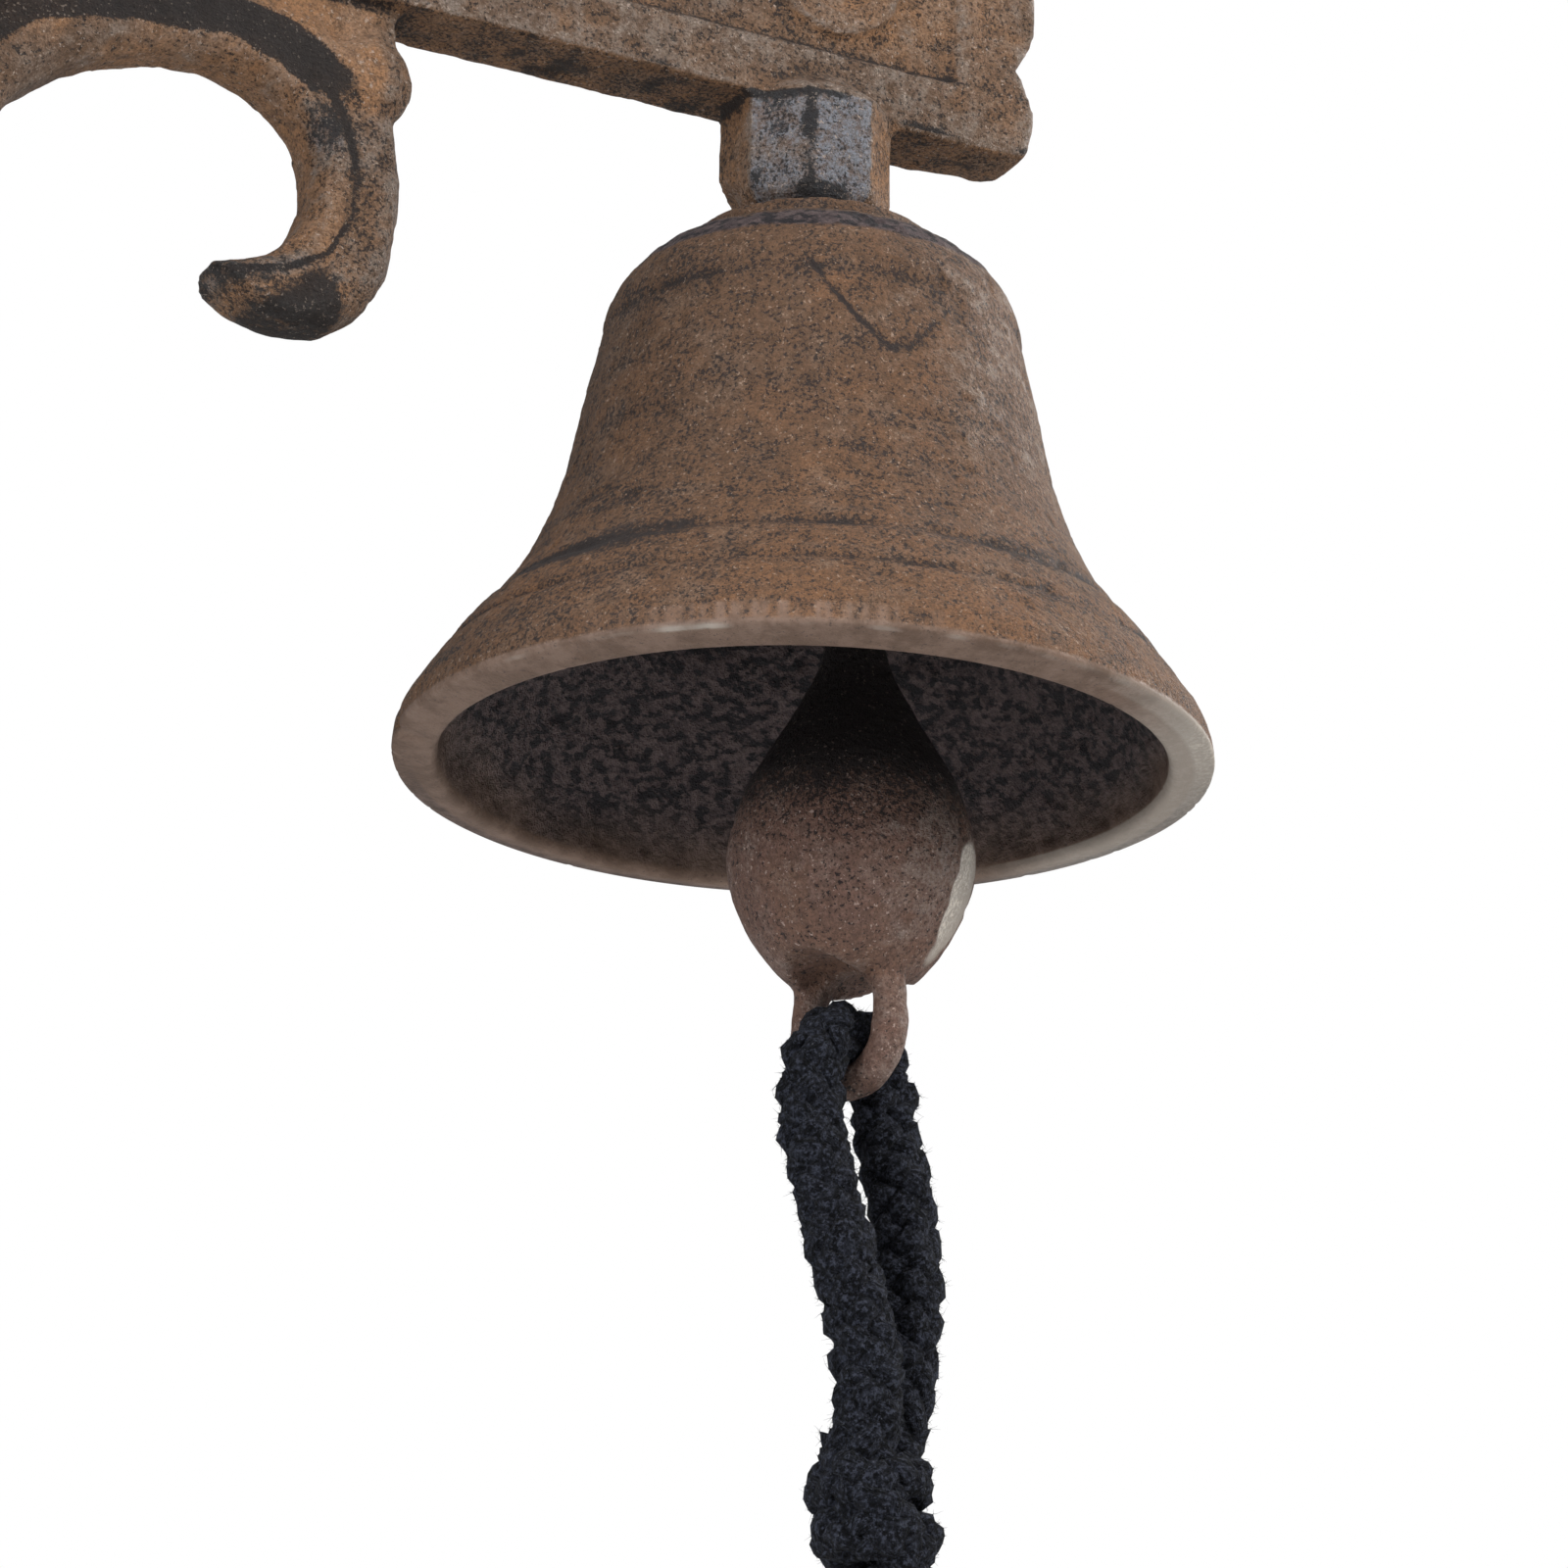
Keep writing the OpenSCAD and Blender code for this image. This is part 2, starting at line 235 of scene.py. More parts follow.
def remeshed(name, source, voxel_mm):
    """One even skin over the given mesh, whose parts may pass through each other."""
    mesh = source.copy()
    obj = bpy.data.objects.new(name, mesh)
    bpy.context.scene.collection.objects.link(obj)
    remesh = obj.modifiers.new("skin", "REMESH")
    remesh.mode = "VOXEL"
    remesh.voxel_size = voxel_mm * MM
    remesh.use_smooth_shade = True
    depsgraph = bpy.context.evaluated_depsgraph_get()
    skin = bpy.data.meshes.new_from_object(obj.evaluated_get(depsgraph), depsgraph=depsgraph)
    obj.modifiers.clear()
    obj.data = skin
    bpy.data.meshes.remove(mesh)
    skin.name = name
    return obj


def placed(piece, body, slot, *nodes):
    """Hide the CAD nodes a piece stands for and hang it on the body it rides on. The slot argument is not
    used.
    """
    if nodes:
        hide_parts(*nodes)
    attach(piece, body)


# ---------------------------------------------------------------- materials


def node_tools(name):
    """A new material with helpers that add its nodes and link them."""
    material = bpy.data.materials.new(name)
    material.use_nodes = True
    tree = material.node_tree
    tree.nodes.clear()

    def add(kind, inputs=None, **settings):
        node = tree.nodes.new(kind)
        for key, value in settings.items():
            setattr(node, key, value)
        for key, value in (inputs or {}).items():
            if isinstance(value, bpy.types.NodeSocket):
                tree.links.new(value, node.inputs[key])
            else:
                node.inputs[key].default_value = value
        return node

    return material, add


def math_node(add, operation, a, b=0.0, clamp=False):
    node = add("ShaderNodeMath", {0: a, 1: b}, operation=operation)
    node.use_clamp = clamp
    return node.outputs[0]


def ramp_node(add, value, low, high, out_low=0.0, out_high=1.0):
    inputs = {"Value": value, "From Min": low, "From Max": high, "To Min": out_low, "To Max": out_high}
    node = add("ShaderNodeMapRange", inputs, interpolation_type="SMOOTHSTEP")
    return node.outputs["Result"]


def mix_node(add, factor, a, b):
    node = add("ShaderNodeMix", data_type="RGBA")
    tree = node.id_data
    for socket, value in ((node.inputs[0], factor), (node.inputs[6], a), (node.inputs[7], b)):
        if isinstance(value, bpy.types.NodeSocket):
            tree.links.new(value, socket)
        elif socket.type == "RGBA":
            socket.default_value = (*value, 1)
        else:
            socket.default_value = value
    return node.outputs[2]


def noise_node(add, coordinates, size_mm, detail=3.0, rough=0.55, stretch=(1, 1, 1)):
    """Noise with features about size_mm across, in object space."""
    scaled = add(
        "ShaderNodeMapping", {"Vector": coordinates, "Scale": tuple(s / (size_mm * MM) for s in stretch)}
    )
    node = add(
        "ShaderNodeTexNoise",
        {"Vector": scaled.outputs[0], "Scale": 1.0, "Detail": detail, "Roughness": rough},
    )
    return node.outputs["Fac"]


def srgb(r, g, b):
    """A colour given as 8-bit sRGB, in linear numbers."""
    def linear(c):
        c = c / 255
        return c / 12.92 if c <= 0.04045 else ((c + 0.055) / 1.055) ** 2.4

    return linear(r), linear(g), linear(b)


def attribute_node(add, key):
    return add("ShaderNodeAttribute", attribute_name=key).outputs["Fac"]


def plus(add, a, b, weight=1.0):
    return math_node(add, "ADD", a, math_node(add, "MULTIPLY", b, weight))


def times(add, a, b):
    return math_node(add, "MULTIPLY", a, b, True)


def tinted(colour, factor):
    return tuple(factor * c for c in colour)


# Size in millimetres, detail, roughness and, where it isn't even, how much it is squeezed each way.
IRON_NOISES = {
    "patches": (13, 4, 0.6),
    "clouds": (4, 5, 0.7),
    "grains": (1.0, 5, 0.8),
    "specks": (0.46, 3, 0.75),
    "fine": (0.3, 3, 0.7),
    "blotches": (6.5, 4, 0.65, (1.1, 0.94, 1.2)),
    "hollows": (1.15, 3, 0.6, (0.8, 0.8, 1.35)),
    "flecks": (0.5, 2, 0.7, (1.13, 0.9, 1.07)),
    "streaks": (1.5, 5, 0.75, (0.22, 0.22, 1)),
}
# Set on each iron mesh: relief is below 0 in hollows and above 0 on edges, the others go from 0 to 1.
IRON_ATTRIBUTES = ("relief", "dark", "ground", "rusty", "bare", "inner")
# Bluish grey of rubbed iron, also the colour of painted glossy highlights.
BURNISH_AND_HIGHLIGHT = srgb(118, 123, 132)


def rubbed_crust(add, at, brown, rust, grey):
    """Brown wax with rust in patches, rubbed grey where the iron stands proud, and bluish grey where the
    mesh marks rubbed iron and painted highlights.
    """
    grains = at["grains"]
    colour = mix_node(add, ramp_node(add, grains, 0.36, 0.6), tinted(brown, 0.6), brown)
    rust_at = math_node(add, "ADD", ramp_node(add, at["patches"], 0.48, 0.66, 0, 0.55), at["rusty"])
    rust_at = times(add, rust_at, ramp_node(add, at["clouds"], 0.34, 0.58, 0.45, 1))
    rust_at = times(add, rust_at, ramp_node(add, grains, 0.36, 0.56, 0.3, 1))
    colour = mix_node(add, rust_at, colour, rust)
    blotched = ramp_node(add, at["blotches"], 0.5, 0.64, 0, 0.35)
    blotched = times(add, blotched, ramp_node(add, grains, 0.4, 0.56, 0.3, 1))
    colour = mix_node(add, blotched, colour, tinted(grey, 1.12))
    high = plus(add, plus(add, at["clouds"], at["relief"], 0.16), at["bare"], 0.3)
    grey_at = times(add, ramp_node(add, high, 0.52, 0.85), ramp_node(add, grains, 0.38, 0.56, 0.25, 0.95))
    # Bluish grey where the rubbed mark is high: rubbed iron, and painted highlights where the mesh puts
    # them.
    worn = mix_node(add, ramp_node(add, at["bare"], 0.8, 1.3), grey, BURNISH_AND_HIGHLIGHT)
    return mix_node(add, grey_at, colour, worn), grey_at


def black_and_pale(add, at, colour, brown, grey, black):
    """Black where the mesh says so and in specks, and pale flecks over that, which are partly painted
    glints.
    """
    spotted = plus(add, at["specks"], at["relief"], 0.035)
    spotted = plus(add, plus(add, spotted, at["clouds"], 0.3), at["patches"], 0.12)
    spotted = plus(add, plus(add, spotted, at["dark"], -0.12), at["streaks"], 0.12)
    speckled = times(add, ramp_node(add, spotted, 0.73, 0.66), 0.88)
    # Black where the mesh's dark mark is high: black iron, and painted shade where the mesh puts it.
    blackened_and_shaded = times(add, ramp_node(add, plus(add, at["dark"], at["grains"], 1.6), 1.2, 1.42), 0.93)
    colour = mix_node(add, ramp_node(add, at["fine"], 0.56, 0.38, 0, 0.6), colour, tinted(brown, 0.45))
    colour = mix_node(add, math_node(add, "MAXIMUM", speckled, blackened_and_shaded), colour, black)
    # Pale flecks of crust, partly painted glints.
    pale = plus(add, plus(add, at["flecks"], at["relief"], 0.03), at["clouds"], 0.1)
    pale_at = ramp_node(add, pale, 0.68, 0.76, 0, 0.75)
    pale_at = times(add, pale_at, ramp_node(add, at["dark"], 0.2, 0.9, 1, 0.45))
    return mix_node(add, pale_at, colour, tinted(grey, 1.9))


def hollow_skin(add, at):
    """The unlit inside of the bell: blue-black in the hollows, dull brown between them."""
    patchy = ramp_node(add, plus(add, at["grains"], at["clouds"], 0.4), 0.6, 0.8)
    brown = mix_node(add, patchy, srgb(62, 51, 52), srgb(86, 73, 72))
    deep = plus(add, plus(add, at["hollows"], at["relief"], 0.04), at["clouds"], 0.12)
    colour = mix_node(add, ramp_node(add, deep, 0.47, 0.58), srgb(26, 22, 26), brown)
    return mix_node(add, ramp_node(add, at["flecks"], 0.62, 0.74, 0, 0.4), colour, srgb(112, 98, 94))


def ground_skin(add, at):
    """Iron ground flat: waxed brown, silvery where it is worn to the metal, with bright chips there,
    partly painted glints.
    """
    colour = mix_node(add, ramp_node(add, at["clouds"], 0.38, 0.62), srgb(86, 67, 55), srgb(106, 86, 74))
    colour = mix_node(add, ramp_node(add, at["specks"], 0.4, 0.34, 0, 0.7), colour, srgb(52, 42, 39))
    colour = mix_node(add, ramp_node(add, at["bare"], 0.2, 1.1), colour, srgb(148, 140, 131))
    # Bright chips on the worn ground, partly painted glints.
    chips_and_glints = times(add, ramp_node(add, at["flecks"], 0.5, 0.56), ramp_node(add, at["bare"], 0.85, 1.1))
    return mix_node(add, times(add, chips_and_glints, 0.7), colour, srgb(205, 196, 184))


def iron_material(name, brown, rust, grey, black):
    """Sand-cast iron: brown wax and rust over black iron, rubbed grey where it stands proud, with painted
    shade and painted highlights where the mesh's marks ask for them.
    """
    material, add = node_tools(name)
    where = add("ShaderNodeTexCoord").outputs["Object"]
    at = {key: noise_node(add, where, *noise) for key, noise in IRON_NOISES.items()}
    at.update({key: attribute_node(add, key) for key in IRON_ATTRIBUTES})
    colour, grey_at = rubbed_crust(add, at, brown, rust, grey)
    colour = black_and_pale(add, at, colour, brown, grey, black)
    colour = mix_node(add, at["inner"], colour, hollow_skin(add, at))
    colour = mix_node(add, at["ground"], colour, ground_skin(add, at))

    height = plus(add, times(add, at["grains"], 0.8), at["specks"], 0.55)
    height = plus(add, plus(add, height, at["clouds"], 0.6), at["flecks"], 0.3)
    strength = ramp_node(add, at["ground"], 0, 1, 1, 0.25)
    skin = add("ShaderNodeBump", {"Strength": strength, "Distance": 0.0009, "Height": height})
    rough = ramp_node(add, grey_at, 0, 1, 0.66, 0.46)
    shader = add(
        "ShaderNodeBsdfPrincipled",
        {"Base Color": colour, "Roughness": rough, "Metallic": 0.1, "Normal": skin.outputs[0]},
    )
    shader.inputs["Specular IOR Level"].default_value = 0.32
    add("ShaderNodeOutputMaterial", {"Surface": shader.outputs[0]})
    return material


def steel_material():
    """Blackened steel with a rubbed, slightly rusty skin."""
    material, add = node_tools("dark_steel")
    where = add("ShaderNodeTexCoord").outputs["Object"]
    clouds = noise_node(add, where, 3, 4, 0.6)
    grains = noise_node(add, where, 0.4, 3, 0.6)
    colour = mix_node(add, ramp_node(add, clouds, 0.4, 0.65), srgb(52, 48, 48), srgb(98, 86, 78))
    colour = mix_node(add, ramp_node(add, grains, 0.6, 0.75, 0, 0.5), colour, srgb(120, 78, 52))
    skin = add("ShaderNodeBump", {"Strength": 0.4, "Distance": 0.0002, "Height": grains})
    shader = add(
        "ShaderNodeBsdfPrincipled",
        {
            "Base Color": colour,
            "Roughness": ramp_node(add, clouds, 0.3, 0.7, 0.35, 0.6),
            "Metallic": 0.8,
            "Normal": skin.outputs[0],
        },
    )
    add("ShaderNodeOutputMaterial", {"Surface": shader.outputs[0]})
    return material


def cotton_material(name, colour, tip):
    """Dyed cotton yarn: fine fibres along each strand, paler where they stand up, with painted sheen in
    bright patches.
    """
    material, add = node_tools(name)
    strand = add("ShaderNodeAttribute", attribute_name="strand").outputs["Vector"]
    where = add("ShaderNodeTexCoord").outputs["Object"]
    fibres = add(
        "ShaderNodeTexNoise", {"Vector": strand, "Scale": 1.0, "Detail": 3.0, "Roughness": 0.6}
    ).outputs["Fac"]
    clouds = noise_node(add, where, 2.5, 3, 0.6)
    lint = noise_node(add, where, 0.35, 2, 0.5)
    matted_and_sheen = noise_node(add, where, 0.55, 4, 0.75)
    mixed = mix_node(add, ramp_node(add, fibres, 0.38, 0.68), colour, tip)
    mixed = mix_node(add, ramp_node(add, clouds, 0.35, 0.7, 0, 0.35), mixed, tinted(colour, 0.5))
    # Painted sheen: bright patches for the light on the yarn, and darker patches between them.
    mixed = mix_node(add, ramp_node(add, matted_and_sheen, 0.5, 0.62, 0, 0.85), mixed, tinted(tip, 2.4))
    mixed = mix_node(add, ramp_node(add, matted_and_sheen, 0.48, 0.36, 0, 0.8), mixed, tinted(colour, 0.3))
    mixed = mix_node(add, ramp_node(add, lint, 0.69, 0.76, 0, 0.6), mixed, srgb(88, 90, 98))
    fluffy = plus(add, fibres, matted_and_sheen, 1.4)
    skin = add("ShaderNodeBump", {"Strength": 1.0, "Distance": 0.0006, "Height": fluffy})
    shader = add(
        "ShaderNodeBsdfPrincipled",
        {"Base Color": mixed, "Roughness": 0.92, "Normal": skin.outputs[0]},
    )
    shader.inputs["Sheen Weight"].default_value = 0.025
    shader.inputs["Sheen Roughness"].default_value = 0.5
    shader.inputs["Specular IOR Level"].default_value = 0.05
    add("ShaderNodeOutputMaterial", {"Surface": shader.outputs[0]})
    return material


def iron(name, *colours):
    return iron_material(name, *(srgb(*colour) for colour in colours))


COTTON = cotton_material("black_cotton", srgb(5, 6, 10), srgb(36, 38, 46))
FUZZ = cotton_material("cotton_fuzz", srgb(12, 13, 18), srgb(58, 60, 68))
STEEL = steel_material()
BELL_IRON = iron("bell_iron", (107, 79, 58), (125, 88, 59), (118, 100, 86), (30, 26, 27))
# The clapper's black, (10, 9, 13), also colours the painted shadow of the bell over its upper part.
CLAPPER_IRON = iron("clapper_iron", (115, 86, 74), (116, 86, 66), (128, 112, 104), (10, 9, 13))
BRACKET_IRON = iron("bracket_iron", (109, 83, 63), (150, 110, 77), (122, 109, 99), (18, 16, 18))

# ---------------------------------------------------------------- cord
# Lengths in millimetres. The cord's points are in the eye's frame, from its bar.

CORD_R = 3.5
CORD_PITCH = 16.0
KNOT_PITCH = 13.0
LOOP_R = 5.45
LOOP_SQUEEZE = 0.1
FRONT_STRAND = [(0.6, -2.7, -41), (-0.7, -3.9, -38), (-1.1, -4.5, -32), (-2, -3.8, -25), (-3.4, -2.4, -18),
                (-4.8, -1.1, -11), (-5.8, -0.3, -5)]
REAR_STRAND = [(6, -0.2, -5), (7, -1.3, -11), (7.4, -2, -18), (7.4, -2.3, -25), (6.8, -2, -32),
               (5.6, -1.5, -37.5), (3.9, -1.5, -41)]
OVER_BAR = [
    (-LOOP_R * math.cos(math.radians(a)), 0, LOOP_R * math.sin(math.radians(a)))
    for a in range(0, 181, 30)
]
TAIL = [(2.1, -2.2, -54), (2, -2, -62), (1.4, -1.2, -74), (0.4, -0.1, -88), (-0.6, 0.8, -103),
        (-1.1, 1.1, -118), (-1.1, 1.1, -132), (-0.9, 0.9, -146), (-0.8, 0.8, -160)]
LOOP_KNOT = (2.1, -2.2, -45)
END_KNOT = (-0.8, 0.8, -165)
CAMERA_RIGHT = np.array([math.cos(CAM_AZIMUTH - EYE_TURN), math.sin(CAM_AZIMUTH - EYE_TURN)])
STRANDS = 4
STRAND_SIDES = 9
BRAID_STEP = 0.55
CORE_R = 2.05


def resampled(points, step, passes=2):
    """The points as a smooth curve with even steps, and how far along it each step is."""
    p = np.asarray(points, float)
    n = len(p)
    fine = []
    for i in range(n - 1):
        a, b = p[max(i - 1, 0)], p[i]
        c, d = p[i + 1], p[min(i + 2, n - 1)]
        for t in np.arange(0, 1, 0.05):
            bend = (2 * a - 5 * b + 4 * c - d) * t**2 + (3 * b - a - 3 * c + d) * t**3
            fine.append(0.5 * (2 * b + (c - a) * t + bend))
    fine.append(p[-1])
    fine = np.array(fine)
    for _ in range(passes):
        fine[1:-1] = (fine[:-2] + 2 * fine[1:-1] + fine[2:]) / 4
    along = np.concatenate([[0], np.cumsum(np.linalg.norm(np.diff(fine, axis=0), axis=1))])
    n = max(int(along[-1] / step), 4)
    at = np.linspace(0, along[-1], n + 1)
    return np.stack([np.interp(at, along, fine[:, c]) for c in range(3)], 1), at


def unit(vectors):
    return vectors / np.linalg.norm(vectors, axis=-1)[..., None]


def travelling_frame(line):
    """A direction across the line and the one square to it, at each point, without twist."""
    ahead = unit(np.gradient(line, axis=0))
    across = np.zeros_like(line)
    across[0] = unit(np.cross(ahead[0], [0.3, 0.9, 0.2]))
    for i in range(1, len(line)):
        across[i] = unit(across[i - 1] - ahead[i] * (across[i - 1] @ ahead[i]))
    return across, np.cross(ahead, across)


def swept(line, width, height, side, out):
    """A closed tube of oval section along line. side and out are unit vectors at each of its points."""
    turn = np.linspace(0, 2 * math.pi, STRAND_SIDES, endpoint=False)
    ring = line[:, None, :] + side[:, None, :] * (width[:, None] * np.cos(turn))[..., None]
    ring = ring + out[:, None, :] * (height[:, None] * np.sin(turn))[..., None]
    points = ring.reshape(-1, 3)
    faces = grid_faces(len(line), STRAND_SIDES).tolist()
    faces.append(list(range(STRAND_SIDES))[::-1])
    faces.append(list(range(len(points) - STRAND_SIDES, len(points))))
    return points, faces, turn


def braid_strand(line, along, sides_of, k, pitch, number, way):
    """One strand that winds round the line, in front of the strands of the other way and then behind."""

    def wander(size, seed):
        return noise3(np.stack([along / size, 0 * along + number * 7.3, 0 * along + way], 1), 1.0, seed)

    turn = 2 * math.pi * number / STRANDS + 0.16 * wander(7, 3)
    angle = way * 2 * math.pi * along / pitch + turn
    reach = 2.1 + way * 0.5 * np.cos(2 * STRANDS * math.pi * along / pitch)
    reach = k * (reach + 0.16 * wander(2.6, 5))
    across, square = sides_of
    out = across * np.cos(angle)[:, None] + square * np.sin(angle)[:, None]
    centre = line + out * reach[:, None]
    side = unit(np.cross(unit(np.gradient(centre, axis=0)), out))
    plump = k * (1 + 0.14 * wander(3, 8))
    p, faces, ring = swept(centre, 1.6 * plump, 1.08 * plump, side, out)
    rough = 0.34 * noise3(p, 1.0, 12) + 0.26 * noise3(p, 0.55, 13)
    p = p + (p - np.repeat(centre, STRAND_SIDES, axis=0)) * rough[:, None]
    grain = np.stack([
        np.tile(np.cos(ring) * 3.4, len(line)) + number * 9.7 + way * 40,
        np.tile(np.sin(ring) * 3.4, len(line)),
        np.repeat(along * 0.8, len(ring)),
    ], 1)
    return p, faces, grain


def braid_parts(points, radius=CORD_R, pitch=CORD_PITCH, squeeze=0.0):
    """A round braid over a core, thinner by squeeze at its middle. The core is the last part."""
    line, along = resampled(points, BRAID_STEP)
    across, square = travelling_frame(line)
    k = radius / CORD_R * (1 - squeeze * bump(along, along[-1] / 2, 9))
    parts = [
        braid_strand(line, along, (across, square), k, pitch, number, way)
        for way in (1, -1) for number in range(STRANDS)
    ]
    core = CORE_R * k * np.ones_like(along)
    p, faces, _ = swept(line, core, core, across, square)
    parts.append((p, faces, p * 0.8))
    return parts, line


def join_parts(name, parts, material):
    points, faces, grains, start = [], [], [], 0
    for p, f, g in parts:
        points.append(p)
        grains.append(g)
        faces += [[start + v for v in face] for face in f]
        start += len(p)
    return new_mesh(name, np.concatenate(points), faces, {"strand": np.concatenate(grains)}, material)


FIBRE_LENGTH = (0.2, 0.75)
FIBRE_R = 0.026
FIBRE_LEVELS = (0.0, 0.5, 1.0)
FIBRE_SIDES = 3


def fibre_faces(count):
    """The sides and ends of count spikes, each of three levels of three corners."""
    corners = len(FIBRE_LEVELS) * FIBRE_SIDES
    base = np.arange(count)[:, None] * corners
    quads = []
    for low in (0, FIBRE_SIDES):
        for a in range(FIBRE_SIDES):
            b = (a + 1) % FIBRE_SIDES
            up = low + FIBRE_SIDES
            quads.append(base + np.array([[low + a, low + b, up + b, up + a]]))
    ends = (base + np.array([[2, 1, 0]])).tolist() + (base + np.array([[6, 7, 8]])).tolist()
    return np.concatenate(quads).tolist() + ends


def fuzz_on(name, roots, outs, runs, count):
    """Loose fibres: thin curved spikes that start on the yarn and lean along it."""
    pick = RNG.integers(0, len(roots), count)
    root, out, run = roots[pick], outs[pick], runs[pick]
    sideways = np.cross(out, run)
    lean = RNG.normal(0, 1.3, (count, 1)) * run + RNG.normal(0, 1.0, (count, 1)) * sideways
    way = unit(out + lean)
    curl = RNG.normal(0, 0.6, (count, 3))
    size = RNG.uniform(*FIBRE_LENGTH, (count, 1)) * (0.4 + 0.6 * RNG.random((count, 1)))
    spread_a = unit(np.cross(way, run))
    spread_b = np.cross(way, spread_a)
    points = []
    for t in FIBRE_LEVELS:
        centre = root + way * size * t + curl * size * t * t
        r = FIBRE_R * (1 - 0.75 * t)
        for a in np.linspace(0, 2 * math.pi, FIBRE_SIDES, endpoint=False):
            points.append(centre + r * (math.cos(a) * spread_a + math.sin(a) * spread_b))
    flat = np.stack(points, 1).reshape(-1, 3)
    return join_parts(name, [(flat, fibre_faces(count), flat)], FUZZ)


def surface_samples(strands):
    """Places on the strands' outer sides, with the ways out of them and along them."""
    outer = [1, 2, 3]
    roots, outs, runs = [], [], []
    for p, _, _ in strands:
        rings = p.reshape(-1, STRAND_SIDES, 3)
        middle = rings.mean(1)
        way = unit(rings - middle[:, None, :])
        run = unit(np.gradient(middle, axis=0))
        roots.append(rings[:, outer].reshape(-1, 3))
        outs.append(way[:, outer].reshape(-1, 3))
        runs.append(np.repeat(run, len(outer), axis=0))
    return np.concatenate(roots), np.concatenate(outs), np.concatenate(runs)


def make_braid(name, parts, strands, node, fuzz):
    """A piece of the cord and, as a piece of its own, the loose fibres on it."""
    piece = join_parts(name, parts, COTTON)
    placed(piece, "cord", "cord", node)
    placed(fuzz_on(name + "_fibres", *surface_samples(strands), fuzz), "cord", "cord")
    return piece


def make_cord(name, points, node, fuzz, squeeze=0.0):
    parts, line = braid_parts(points, squeeze=squeeze)
    return make_braid(name, parts, parts[:-1], node, fuzz), line


def knot_route(middle, turns, reach, high, tilt, start):
    """Down the middle, out, round a few times and back to the middle."""
    x0, y0, z0 = middle
    route = [(x0, y0, z0 + high / 2 + 3)]
    n = int(turns * 12)
    for i in range(n + 1):
        t = i / n
        a = start - 2 * math.pi * turns * t
        out = reach * min(1, 7 * t + 0.3, 7 * (1 - t) + 0.3) * (0.94 + 0.12 * t)
        place = out * np.array([math.cos(a), math.sin(a)])
        lean = (tilt[0] + (tilt[1] - tilt[0]) * t) * (CAMERA_RIGHT @ place)
        x, y = place + CAMERA_RIGHT * 1.7 * (t - 0.25)
        route.append((x0 + x, y0 + y, z0 + (high / 2 - 2) * (1 - 2 * t) - lean))
    route.append((x0, y0, z0 - high / 2 - 3))
    return at_eye(route)


def strap_route(middle, reach, high):
    """Over the knot's front, from its upper left to its lower right as the camera sees it."""
    x0, y0, z0 = middle
    route = []
    for i in range(11):
        t = i / 10
        a = math.radians(-200 + 150 * t)
        out = reach * (0.55 + 0.45 * math.sin(math.pi * t))
        route.append((x0 + out * math.cos(a), y0 + out * math.sin(a), z0 + high * (0.5 - t)))
    return at_eye(route)


def make_knot(name, route, strap, node, fuzz, radius):
    wraps, _ = braid_parts(route, radius, KNOT_PITCH)
    over, _ = braid_parts(strap, radius * 0.92, KNOT_PITCH)
    return make_braid(name, wraps + over, wraps[:-1] + over[:-1], node, fuzz)


def make_cords():
    loop_points = FRONT_STRAND + OVER_BAR + REAR_STRAND
    loop, loop_line = make_cord("cord_loop_braid", at_eye(loop_points), "cord_loop", 13000, LOOP_SQUEEZE)
    tail, tail_line = make_cord("cord_tail_braid", at_eye(TAIL), "cord_tail", 13000)
    knot = make_knot(
        "loop_knot_braid", knot_route(LOOP_KNOT, 2.6, 3.8, 17.5, (0.15, 0.45), 2.2),
        strap_route(LOOP_KNOT, 4.6, 15), "loop_knot", 6000, 3.1,
    )
    end = make_knot(
        "end_knot_braid", knot_route(END_KNOT, 1.7, 3.1, 11.5, (0.25, -0.2), 0.8),
        strap_route(END_KNOT, 3.7, 9), "end_knot", 3400, 2.75,
    )


make_cords()

# ---------------------------------------------------------------- bell

SKIRT = [(43.2, 0), (42.6, 3), (40.8, 6), (38.1, 10), (35, 14), (31.6, 18), (29.1, 23), (27.1, 28),
         (25.5, 34), (24.3, 40), (23, 46)]
SKIRT_R, SKIRT_Z = zip(*SKIRT)
WALL = 4.2
LIP = 4.9
LIP_RISE = 12
TIP_IN = 4.3
SHOULDER_R = 12
SHOULDER_OUT = 22.9
SHOULDER_DOWN = 1.7
CROWN_R = 13.5
BOLT_HOLE_R = 2.7
CROWN_UNDER = 55
COLUMNS = 520
SECTION_STEP = 0.5


def curve_through(points):
    line, _ = resampled([(x, z, 0) for x, z in points], 0.3, 0)
    return line[:, :2]


